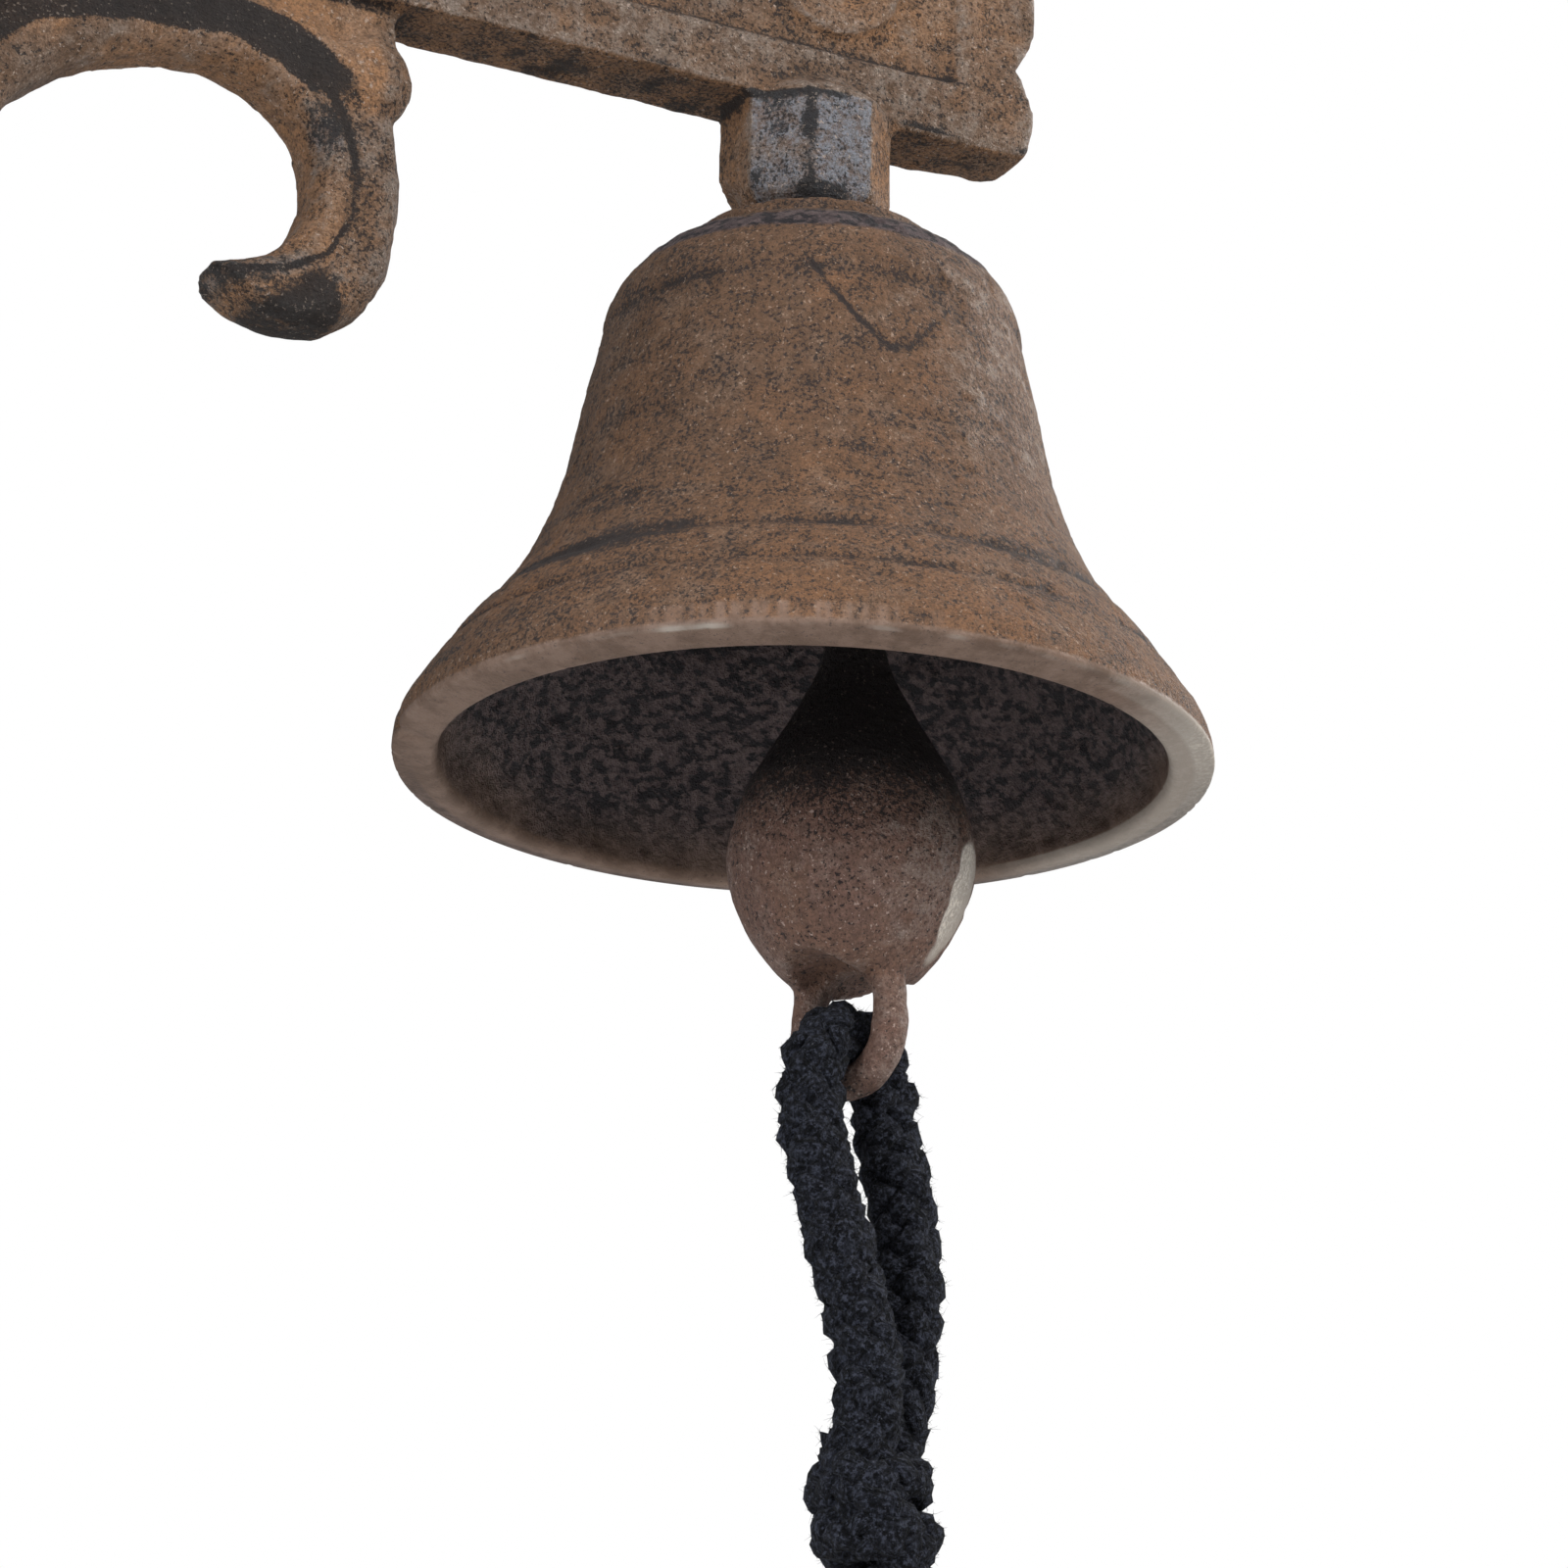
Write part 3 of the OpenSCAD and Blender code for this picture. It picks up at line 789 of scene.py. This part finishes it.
def bell_outline():
    """The bell's closed section, as radius and height, with corners eased."""
    outer = curve_through(SKIRT)
    arc_r, arc_z = SHOULDER_OUT - SHOULDER_R, BELL_H - SHOULDER_DOWN - SHOULDER_R
    arc = [
        (arc_r + SHOULDER_R * math.cos(math.radians(a)), arc_z + SHOULDER_R * math.sin(math.radians(a)))
        for a in range(8, 79, 5)
    ]
    crown = [(CROWN_R, BELL_H - 1.8), (CROWN_R - 0.4, BELL_H), (BOLT_HOLE_R, BELL_H),
             (BOLT_HOLE_R, CROWN_UNDER), (12, CROWN_UNDER), (16.5, 52.6)]
    inner = curve_through([
        (r - WALL - (LIP - WALL) * max(0, 1 - z / LIP_RISE), z) for r, z in reversed(SKIRT)
    ])
    tip = [(MOUTH_R - TIP_IN, -LIP_DROP)]
    corners = np.concatenate([outer, arc, crown, inner, tip, outer[:1]])
    length = np.concatenate([[0], np.cumsum(np.linalg.norm(np.diff(corners, axis=0), axis=1))])
    at = np.linspace(0, length[-1], int(length[-1] / SECTION_STEP), endpoint=False)
    section = np.stack([np.interp(at, length, corners[:, c]) for c in (0, 1)], 1)
    return (np.roll(section, 1, 0) + 2 * section + np.roll(section, -1, 0)) / 4


def turned_skin(section):
    """The section turned about the bell's axis: points, ways out of them, angles and faces."""
    turn = np.linspace(0, 2 * math.pi, COLUMNS, endpoint=False)
    r, z = section[:, :1], section[:, 1:]
    points = np.stack([r * np.cos(turn), r * np.sin(turn), z + 0 * turn], -1).reshape(-1, 3)
    along = unit(np.roll(section, -1, 0) - np.roll(section, 1, 0))
    out = np.stack([
        along[:, 1:] * np.cos(turn), along[:, 1:] * np.sin(turn), -along[:, :1] + 0 * turn
    ], -1).reshape(-1, 3)
    faces = grid_faces(len(section), COLUMNS, True)[:, ::-1].tolist()
    return points, out, np.tile(turn, len(section)), faces


def unrolled(at, round_scale, up_scale):
    """Places on the bell laid flat, so that noise on them runs in rings or in streaks."""
    return np.stack([at.angle * round_scale, at.height * up_scale, 0 * at.height], 1)


def bell_places(p, angle):
    """Each point's height, radius and angle, and whether it is inside, outside or on the lip."""
    height, radius = p[:, 2], np.hypot(p[:, 0], p[:, 1])
    degrees = np.degrees((angle + math.pi) % (2 * math.pi) - math.pi)
    wall = np.interp(height, SKIRT_Z, SKIRT_R)
    inside = ((radius < wall - 2.2) & (height < CROWN_UNDER + 1)).astype(float)
    lip = ((height < 0.6) & (radius > MOUTH_R - LIP - 0.4)).astype(float)
    off_front = np.abs((degrees - FACING + 180) % 360 - 180)
    return SimpleNamespace(
        p=p, height=height, radius=radius, angle=angle, degrees=degrees,
        inside=inside, lip=lip, outside=(1 - inside) * (1 - lip), crisp=ramp(-off_front, -112, -72),
    )


def bell_cast(at):
    """The sand-cast surface: noises at several sizes."""
    return SimpleNamespace(
        sand=fractal(at.p, 1.5, 3, 40),
        swell=fractal(at.p, 9.0, 2, 50),
        coarse=fractal(at.p, 2.0, 3, 70),
        pits=ramp(-noise3(at.p, 1.9, 60), 0.35, 0.75),
        streak=fractal(unrolled(at, 7, 0.9), 1.0, 3, 31),
    )


def bell_marks(at):
    """What was turned, filed and worn into the bell, each from 0 to about 1."""
    height, degrees, rings = at.height, at.degrees, unrolled(at, 5, 1)
    broken = 0.55 + 0.45 * noise3(unrolled(at, 6, 0.2), 1.0, 21)
    groove = 0.55 * bump(height, 14.7 + 0.25 * noise3(rings, 3.0, 4), 0.75)
    groove += 0.4 * bump(height, 9.2 + 0.3 * noise3(rings, 4.0, 5), 0.5)
    groove += 0.2 * bump(height, 47.3, 0.6) + 0.1 * bump(height, 24.5, 0.5) + 0.1 * bump(height, 31, 0.5)
    groove *= (0.45 + 0.75 * broken) * at.outside

    bow = np.interp(degrees, [-120, -111, -104, -98, -92, -84], [49.5, 44, 40.5, 38.3, 38.8, 42.5])
    worn = bump(height, bow, 0.7) * ramp(degrees, -124, -117) * ramp(-degrees, 80, 86)
    lines = ramp(fractal(unrolled(at, 2.2, 0.75), 1.0, 3, 33), 0.12, 0.42)
    lines *= ramp(height, 3.5, 8) * (0.5 + 0.5 * ramp(-height, -44, -20))
    dotted = 0.5 * bump(height, 14.2, 1.3) + 0.48 * bump(height, 9.0, 1.6) * ramp(degrees, -140, -110)
    bands = dotted * (0.55 + 0.6 * broken) + 0.4 * lines
    bands += 0.3 * bump(height, 47.5, 0.9) + 0.4 * bump(height, 56.5, 1.4)

    scratches = ramp(noise3(unrolled(at, 85, 0.15), 1.0, 80), -0.1, 0.4)
    file_zone = bump(degrees, -120, 24) * (height < 2.8) * at.outside
    cuts = bump(degrees, -119, 16) * bump(height, 2.2, 1.6) * at.outside * ramp(-scratches, -0.5, -0.1)
    cuts *= ramp(noise3(at.p, 4.0, 93), -0.5, 0.1)
    filed = np.clip(file_zone * (0.35 + 0.65 * scratches), 0, 1) * (1 - 0.8 * cuts)
    nick = bump(degrees, 165, 1.6) * bump(height, 0.8, 1.2)
    nick += 0.6 * bump(degrees, -150, 1) * bump(height, 0.4, 1)
    return SimpleNamespace(
        rings=rings, groove=groove, worn=worn, bands=bands, cuts=cuts, filed=filed,
        strokes=file_zone * scratches, nick=nick * (at.radius > MOUTH_R - 3),
        corner=bump(height, 0, 0.5) * (at.radius > MOUTH_R - 0.9) * at.crisp,
    )


def bell_push(at, cast, marks):
    """How far each point moves out, in millimetres."""
    move = 0.1 * cast.sand + 0.15 * cast.swell - 0.18 * cast.pits + 0.07 * cast.streak
    move *= at.outside * ramp(at.height, 0.4, 3)
    move -= marks.groove + 0.16 * marks.worn * at.outside
    rough_inside = 0.34 * cast.coarse + 0.1 * cast.sand - 0.3 * cast.pits
    move += at.inside * rough_inside * ramp(at.height, 0.3, 1.5)
    move -= at.lip * 0.1 * ramp(-noise3(at.p, 1.2, 66), 0.55, 0.8) + 0.14 * marks.strokes
    move -= 0.22 * marks.corner * (0.5 + 0.5 * fractal(marks.rings, 1.6, 3, 92))
    move -= 0.7 * marks.nick
    move[at.radius < BOLT_HOLE_R + 3.5] = 0
    top = at.height > BELL_H - 0.4
    move[top] = np.minimum(move[top], 0)
    return move


def bell_looks(at, cast, marks):
    """The attributes that the iron material reads."""
    depth = at.height + 2.4 * fractal(at.p, 6.0, 3, 90)
    near_lip = at.inside * ramp(-depth, -7, 0.5)
    right_side = ramp(at.degrees, -92, -40) * ramp(-at.degrees, -60, -10)
    chips = marks.corner * (0.45 + 0.55 * noise3(at.p, 2.5, 91)) * bump(at.degrees, -122, 45)
    # glint: painted highlights, small bright spots low on the bell's front-left, carried by the rubbed
    # grey.
    glint = bump(at.height, 1.6, 1.6) * bump(at.degrees, -160, 16)
    edge = bump(at.height, 0.2, 0.45) * (at.radius > MOUTH_R - 0.8)
    stands = 0.55 * cast.sand - 0.9 * cast.pits + 0.7 * cast.streak + 1.2 * edge
    stands += -2.2 * marks.groove - 1.2 * marks.worn
    stands_inside = np.clip(0.9 * cast.coarse - 0.5 * cast.pits - 0.3, -1.2, 0.8)
    dark = 0.4 * marks.groove + 0.6 * marks.worn * at.outside * ramp(at.degrees, -124, -112)
    # The 0.2 term round -165 degrees is painted shade, darker on the bell's front-left away from the key
    # light.
    dark += 0.75 * marks.bands + 0.2 * bump(at.degrees, -165, 22) + 0.5 * marks.cuts
    lip_dark = 0.15 * at.lip * ramp(noise3(at.p, 6.0, 68), 0.2, 0.7)
    ground = at.lip * (0.55 + 0.45 * at.crisp) + 0.85 * marks.filed + 0.75 * near_lip + 0.5 * chips
    rusty = 0.4 * ramp(-at.height, -34, -4) + 0.3 * ramp(cast.swell, 0, 0.5)
    bare = 0.75 * bump(at.degrees, -62, 34) * ramp(at.height, 14, 40) - 0.25 + 0.5 * glint
    return {
        "relief": np.clip(stands, -1.5, 1.2) * (1 - at.inside) + at.inside * stands_inside,
        "dark": np.clip(at.outside * dark + lip_dark, 0, 1),
        "ground": np.clip(ground, 0, 1),
        "rusty": np.clip(at.outside * rusty, 0, 1),
        "bare": at.outside * bare + at.lip * right_side * 0.95 + chips - near_lip * 0.2,
        # The inside, and the lip on the side away from the camera, take the dark colour of the unlit
        # inside: painted shade.
        "inner": np.clip(at.inside + at.lip * (1 - at.crisp), 0, 1),
    }


def make_bell():
    p, out, angle, faces = turned_skin(bell_outline())
    at = bell_places(p, angle)
    cast, marks = bell_cast(at), bell_marks(at)
    moved = p + out * bell_push(at, cast, marks)[:, None]
    moved[:, 2] = np.clip(moved[:, 2], -LIP_DROP, BELL_H)
    bell = new_mesh("cast_bell", at_rim(moved), faces, bell_looks(at, cast, marks), BELL_IRON)
    placed(bell, "frame", "bell_iron", "bell")


make_bell()

# ---------------------------------------------------------------- clapper and bracket


LOOK_LIMIT = 1.6


def cast_skin(name, node, voxel, ease, sand_mm, body, slot, material, dress):
    """An even skin over a CAD node, with eased edges and a sand-cast surface.

    dress gets the points, the ways out, the looks and the curvature, and returns the points. Two of the
    looks are shape: push is a move outward in millimetres, and round is how far an edge is rounded."""
    obj = remeshed(name, frame["nodes"][node].data, voxel)
    mesh = obj.data
    p = smoothed(mesh, points_of(mesh), ease)
    put_points(mesh, p)
    normal = normals_of(mesh)
    curve = ((p - smoothed(mesh, p, 14)) * normal).sum(1)
    sand = fractal(p, 1.6, 3, 101)
    swell = fractal(p, 8.0, 2, 111)
    pits = ramp(-noise3(p, 2.1, 121), 0.35, 0.75)
    looks = {key: np.zeros(len(p)) for key in (*IRON_ATTRIBUTES, "round")}
    looks["relief"] = np.clip(1.6 * curve / 0.35 + 0.5 * sand - 0.8 * pits, -1.6, 1.4)
    looks["push"] = sand_mm * (sand + 1.3 * swell - 1.6 * pits) - 0.04
    eased = smoothed(mesh, p, 60) - p
    p = dress(p, normal, looks, curve)
    p = p + eased * looks.pop("round")[:, None]
    p = p + normal * looks.pop("push")[:, None]
    put_points(mesh, p)
    for key, values in looks.items():
        set_attribute(mesh, key, np.clip(values, -LOOK_LIMIT, LOOK_LIMIT))
    mesh.materials.clear()
    mesh.materials.append(material)
    mesh.polygons.foreach_set("use_smooth", [True] * len(mesh.polygons))
    placed(obj, body, slot, node)


# The clapper's outline: height from its widest place, and radius.
PEAR = [(-15.6, 4), (-14, 7), (-11, 9.6), (-7.5, 11.6), (-4, 12.8), (0, 13.1), (6, 11.5), (10, 9.3),
        (15.5, 6.2)]
PEAR_Z, PEAR_R = zip(*PEAR)
WIDEST_DOWN = 8
FLAT_WAY = math.radians(-40)
FLAT_DOWN = 6


def pushed_in(p, way, over):
    """The points moved by over against the level direction way, an angle."""
    return p - np.array([math.cos(way), math.sin(way), 0]) * over[:, None]


def dress_clapper(p, normal, looks, curve):
    """A ground flat on one side, a painted shadow of the bell over the upper part, and a rubbed lug for
    the cord.
    """
    low, high = (np.array(c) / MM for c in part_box("clapper"))
    x = p[:, 0] - (low[0] + high[0]) / 2
    height = p[:, 2] - RIM_Z
    from_flat = height + WIDEST_DOWN + FLAT_DOWN
    pear = np.interp(height + WIDEST_DOWN, PEAR_Z, PEAR_R)
    reach = x * math.cos(FLAT_WAY) + p[:, 1] * math.sin(FLAT_WAY)
    over = np.maximum(reach - pear * (0.95 + 0.05 * (from_flat / 6.8) ** 2), 0)
    over *= ramp(-np.abs(from_flat), -8, -7)
    p = pushed_in(p, FLAT_WAY, over)
    x = p[:, 0] - (low[0] + high[0]) / 2
    flat = ramp(over, 0.0, 0.2)
    looks["ground"] = 0.95 * flat
    rubbed = bump(np.degrees(np.arctan2(p[:, 1], x)), -70, 26) * bump(height, -11, 8)
    lug = ramp(-height, 22, 24) * ramp(x, 1, 4)
    looks["bare"] = 0.85 * flat + 0.9 * rubbed + 0.35 * lug
    looks["push"] *= 1 - 0.8 * flat
    # Painted shadow: darker going up under the bell's mouth, fading over about 15 mm, and a little lighter
    # low down.
    shade = np.clip((height + noise3(p, 3.0, 221) + 12) / 15, 0, 1)
    looks["dark"] = 0.97 * shade - 0.15 * ramp(-height, 6, 10)
    looks["relief"] = np.clip(looks["relief"] + 0.5 * flat, -1.2, 1.2)
    looks["push"][height > 20] *= 0.25
    return p


def path_distance(p, path):
    """Distance in the x, z plane from each point to a path, and how far along it the nearest place is."""
    best = np.full(len(p), 1e9)
    place = np.zeros(len(p))
    flat = p[:, [0, 2]]
    for n, (a, b) in enumerate(zip(path[:-1], path[1:])):
        run = b - a
        t = np.clip(((flat - a) @ run) / (run @ run), 0, 1)
        d = np.linalg.norm(flat - a - t[:, None] * run, axis=1)
        nearer = d < best
        best[nearer] = d[nearer]
        place[nearer] = n + t[nearer]
    return best, place


# The ridge down the scroll's face, from the middle of the bell's mouth: x and height.
RIDGE = [(-98, 60), (-91, 64.5), (-81, 67.3), (-70.1, 67.6), (-64, 66.2), (-59, 63.2), (-56.4, 58.4),
         (-55.2, 53.8), (-55.6, 48.7), (-58, 44.2), (-62.4, 41.6), (-68.6, 40.4)]
BLACK_BAND = [(-112, 53), (-105, 57)] + RIDGE
SCROLL_HOLE = (-71.5, 51.5)
COLLAR = (-54, 65.5)
COLLAR_R = 6
BOSS_X = -1.2
BOSS_R = 10.6
BOSS_FROM, BOSS_TO = 62.6, 74.6
CHAMFER_WAY = math.radians(153)
CHAMFER_REACH = 9.4
CHAMFER_TOP = 66.8


def dress_boss(p, rim, looks, blotch):
    """The two faces toward the camera rubbed grey with a painted bluish highlight, black corners and a
    painted shadow along their foot, and a chamfer low on one side.
    """
    x = rim[:, 0] - BOSS_X
    height = rim[:, 2]
    boss = ((np.hypot(x, rim[:, 1]) < BOSS_R) & (height < BOSS_TO)).astype(float)
    turn = np.degrees(np.arctan2(rim[:, 1], x))
    faced = boss * ramp(-np.abs(turn + 112.5), -46.5, -43.5)
    # Rubbed grey on the faces toward the camera, with a painted bluish highlight.
    looks["bare"] += faced * (1.15 + 0.5 * ramp(turn, -112, -104) + 0.3 * blotch)
    looks["rusty"] += boss * (1 - faced) * 0.9
    corner = bump(turn, -113.5, 5) * (0.5 + 0.5 * ramp(blotch, -0.45, 0.15))
    corner *= 0.5 + 0.5 * bump(height, 73, 4) + 0.5 * bump(height, BOSS_FROM - 0.6, 5)
    # Painted shadow along the foot of these faces, over the gap above the bell.
    low = ramp(-height, -64.2, -BOSS_FROM) * bump(turn, -104, 24)
    left = ramp(-turn, 113, 118) * ramp(blotch, -0.1, 0.5)
    high = ramp(height, 73.2, 74.4) * ramp(-turn, 80, 96)
    looks["dark"] += faced * (0.12 + 0.9 * corner + 0.95 * low + 0.4 * left + 0.8 * high)
    reach = x * math.cos(CHAMFER_WAY) + rim[:, 1] * math.sin(CHAMFER_WAY)
    over = np.maximum(reach - CHAMFER_REACH + np.clip(CHAMFER_TOP - height, 0, 2.4), 0) * boss
    return pushed_in(p, CHAMFER_WAY, over)


def dress_scroll(p, rim, front, looks, patch, blotch):
    """A ridge line, a black band along the top, a black tip, and rust on the web and in the curl."""
    scroll = ((rim[:, 0] < -48) & (rim[:, 2] < 73.5) & (p[:, 0] > 8)).astype(float)
    away, along = path_distance(rim, np.array(RIDGE, float))
    ridge = scroll * front * bump(away, 0, 0.36) * ramp(along, 4, 5)
    looks["push"] -= 0.25 * ridge
    looks["dark"] += 0.85 * ridge * ramp(patch, -0.9, -0.1)

    from_hole = np.hypot(rim[:, 0] - SCROLL_HOLE[0], rim[:, 2] - SCROLL_HOLE[1])
    top = ramp(-along, -5.6, -4.6)
    flank = scroll * ramp(from_hole, 15.4, 16.6) * front * (1 - top)
    looks["bare"] += flank * (0.35 + 0.3 * patch)
    looks["rusty"] += 0.3 * flank
    looks["dark"] += 0.32 * flank

    from_band, _ = path_distance(rim - np.array([0.3, 0, 0.5]), np.array(BLACK_BAND, float))
    band = ramp(-from_band - 0.9 * blotch, -3.3, -2) * ramp(blotch, -1.6, -0.3)
    looks["dark"] += scroll * front * top * band
    blue = scroll * front * ramp(-from_hole, -16.4, -15.4) * bump(along, 6.0, 1.2)
    looks["bare"] += 1.1 * blue
    looks["dark"] += 0.85 * blue * ramp(-blotch, -0.5, 0.1)
    curl = scroll * ramp(-from_hole, -16.4, -13.6)
    looks["rusty"] += 1.2 * curl
    looks["dark"] -= 0.25 * curl

    tip = scroll * ramp(along, 8.9, 9.6)
    tip_dark = (0.62 + 0.3 * ramp(-away, -2.2, -0.8)) * ramp(blotch, -1.2, -0.2)
    tip_dark -= 0.45 * bump(away, 0.3, 0.9) * ramp(patch, -0.2, 0.3)
    looks["dark"] += tip * tip_dark
    looks["bare"] += tip * bump(away, 0.4, 1.0)
    web = scroll * ramp(from_hole, 18.5, 20.5) * ramp(rim[:, 2], 58, 64) * ramp(-rim[:, 0], 52, 55)
    looks["rusty"] += 1.2 * web
    looks["bare"] -= 1.2 * web
    looks["dark"] -= 0.9 * web * (1 - ramp(-from_band, -3.6, -2))
    looks["relief"] = np.clip(looks["relief"] + 1.2 * web, -LOOK_LIMIT, 1.4)


def dress_arm(p, rim, normal, front, looks, patch, blotch):
    """Rust and painted shade under the arm, and its face rubbed grey along the lower ledge."""
    under = ramp(-normal[:, 2], 0.5, 0.85) * (rim[:, 2] > 73)
    looks["rusty"] += 0.9 * under
    looks["bare"] -= 0.7 * under
    # Painted shade on the arm's underside, over its rust.
    looks["dark"] += under * (0.36 + 0.25 * ramp(blotch, 0, 0.5))
    arm = (rim[:, 2] > 74.8) * front
    band = bump(rim[:, 2], 77.6, 2.6)
    looks["bare"] += arm * (0.35 + 0.25 * band)
    looks["rusty"] += 0.5 * arm * ramp(noise3(p, 13.0, 141), 0.0, 0.5) * (1 - 0.7 * band)
    looks["dark"] += 0.75 * arm * bump(rim[:, 2], 74.9, 0.7) * ramp(patch, -0.2, 0.4)
    looks["dark"] += 0.5 * arm * bump(rim[:, 2] + 0.3 * patch, 81.4, 0.5)


def dress_bracket(p, normal, looks, curve):
    """Black and rubbed grey on the scroll and the boss, with a painted highlight on the boss's front faces
    and painted shade at their foot, rust on the web, and rust and painted shade under the arm.
    """
    front = ramp(-normal[:, 1], 0.15, 0.6)
    patch = noise3(p, 5.0, 131)
    blotch = fractal(p, 2.6, 2, 151)
    rim = p - at_rim([0, 0, 0])
    looks["dark"] += 0.55 * ramp(-curve, 0.1, 0.3)
    p = dress_boss(p, rim, looks, blotch)
    dress_scroll(p, rim, front, looks, patch, blotch)
    collar = front * (np.hypot(rim[:, 0] - COLLAR[0], rim[:, 2] - COLLAR[1]) < COLLAR_R)
    looks["bare"] += 0.15 * collar * ramp(-normal[:, 1], 0.6, 0.9)
    dress_arm(p, rim, normal, front, looks, patch, blotch)

    looks["round"] = 0.55 * ramp(rim[:, 0], 14, 19) * ramp(-rim[:, 2], -80, -76)
    bolted = (np.hypot(rim[:, 0], rim[:, 1]) < 5) & (rim[:, 2] < 76)
    kept_true = (p[:, 0] < 1.2) | bolted
    looks["push"][kept_true] = np.minimum(looks["push"][kept_true], 0) * 0.3
    return p


cast_skin("cast_clapper", "clapper", 0.42, 2, 0.09, "striker", "clapper_iron", CLAPPER_IRON, dress_clapper)
cast_skin("cast_bracket", "bracket", 0.52, 3, 0.13, "frame", "bracket_iron", BRACKET_IRON, dress_bracket)

# ---------------------------------------------------------------- hardware

for node in ("spacer_washer", "crown_washer", "crown_nut", "hook_bolt", "clapper_link"):
    part = frame["nodes"][node]
    part.data.materials.clear()
    part.data.materials.append(STEEL)
    if node not in ("hook_bolt", "clapper_link"):
        edges = part.modifiers.new("eased edges", "BEVEL")
        edges.width = 0.00025
        edges.segments = 2
        edges.limit_method = "ANGLE"
        edges.harden_normals = False

# ---------------------------------------------------------------- stage and light


FLOOR_Z = -0.55
FLOOR_HALF = 12
SOFT_LIGHT = 0.36


def make_floor():
    mesh = bpy.data.meshes.new("floor")
    corners = [(x * FLOOR_HALF, y * FLOOR_HALF, FLOOR_Z) for x, y in ((-1, -1), (1, -1), (1, 1), (-1, 1))]
    mesh.from_pydata(corners, [], [(0, 1, 2, 3)])
    floor = bpy.data.objects.new("floor", mesh)
    bpy.context.scene.collection.objects.link(floor)
    material, add = node_tools("pale_floor")
    shader = add("ShaderNodeBsdfPrincipled", {"Base Color": (0.86, 0.86, 0.85, 1), "Roughness": 0.8})
    add("ShaderNodeOutputMaterial", {"Surface": shader.outputs[0]})
    mesh.materials.append(material)


def make_world():
    """White behind the object, and a soft cool light from all round."""
    world = bpy.data.worlds.new("studio")
    world.use_nodes = True
    tree = world.node_tree
    tree.nodes.clear()
    seen = tree.nodes.new("ShaderNodeLightPath")
    white = tree.nodes.new("ShaderNodeBackground")
    white.inputs[0].default_value = (1, 1, 1, 1)
    soft = tree.nodes.new("ShaderNodeBackground")
    soft.inputs[0].default_value = (0.96, 0.98, 1, 1)
    soft.inputs[1].default_value = SOFT_LIGHT
    mix = tree.nodes.new("ShaderNodeMixShader")
    out = tree.nodes.new("ShaderNodeOutputWorld")
    tree.links.new(seen.outputs["Is Camera Ray"], mix.inputs[0])
    tree.links.new(soft.outputs[0], mix.inputs[1])
    tree.links.new(white.outputs[0], mix.inputs[2])
    tree.links.new(mix.outputs[0], out.inputs[0])
    bpy.context.scene.world = world
    bpy.context.scene.view_settings.view_transform = "Standard"


BELL_MIDDLE_UP = 25


def add_light(name, right, toward, up, size, watts, colour):
    """An area light placed from the bell as the camera sees it: right, toward the camera, and up."""
    c, s = math.cos(CAM_AZIMUTH), math.sin(CAM_AZIMUTH)
    middle = Vector(at_rim([0, 0, BELL_MIDDLE_UP]) * MM)
    place = middle + Vector((c * right + s * toward, s * right - c * toward, up))
    data = bpy.data.lights.new(name, "AREA")
    data.shape = "DISK"
    data.size = size
    data.energy = watts
    data.color = colour
    light = bpy.data.objects.new(name, data)
    light.location = place
    light.rotation_euler = (middle - place).to_track_quat("-Z", "Y").to_euler()
    bpy.context.scene.collection.objects.link(light)


make_floor()
make_world()
add_light("key", 0.76, 0.58, 0.5, 0.5, 16.5, (1, 0.99, 0.97))
add_light("fill", -0.8, 0.6, 0.2, 0.7, 13.5, (0.95, 0.97, 1))
add_light("rim", 0.7, -0.5, 0.5, 0.5, 5, (1, 1, 1))
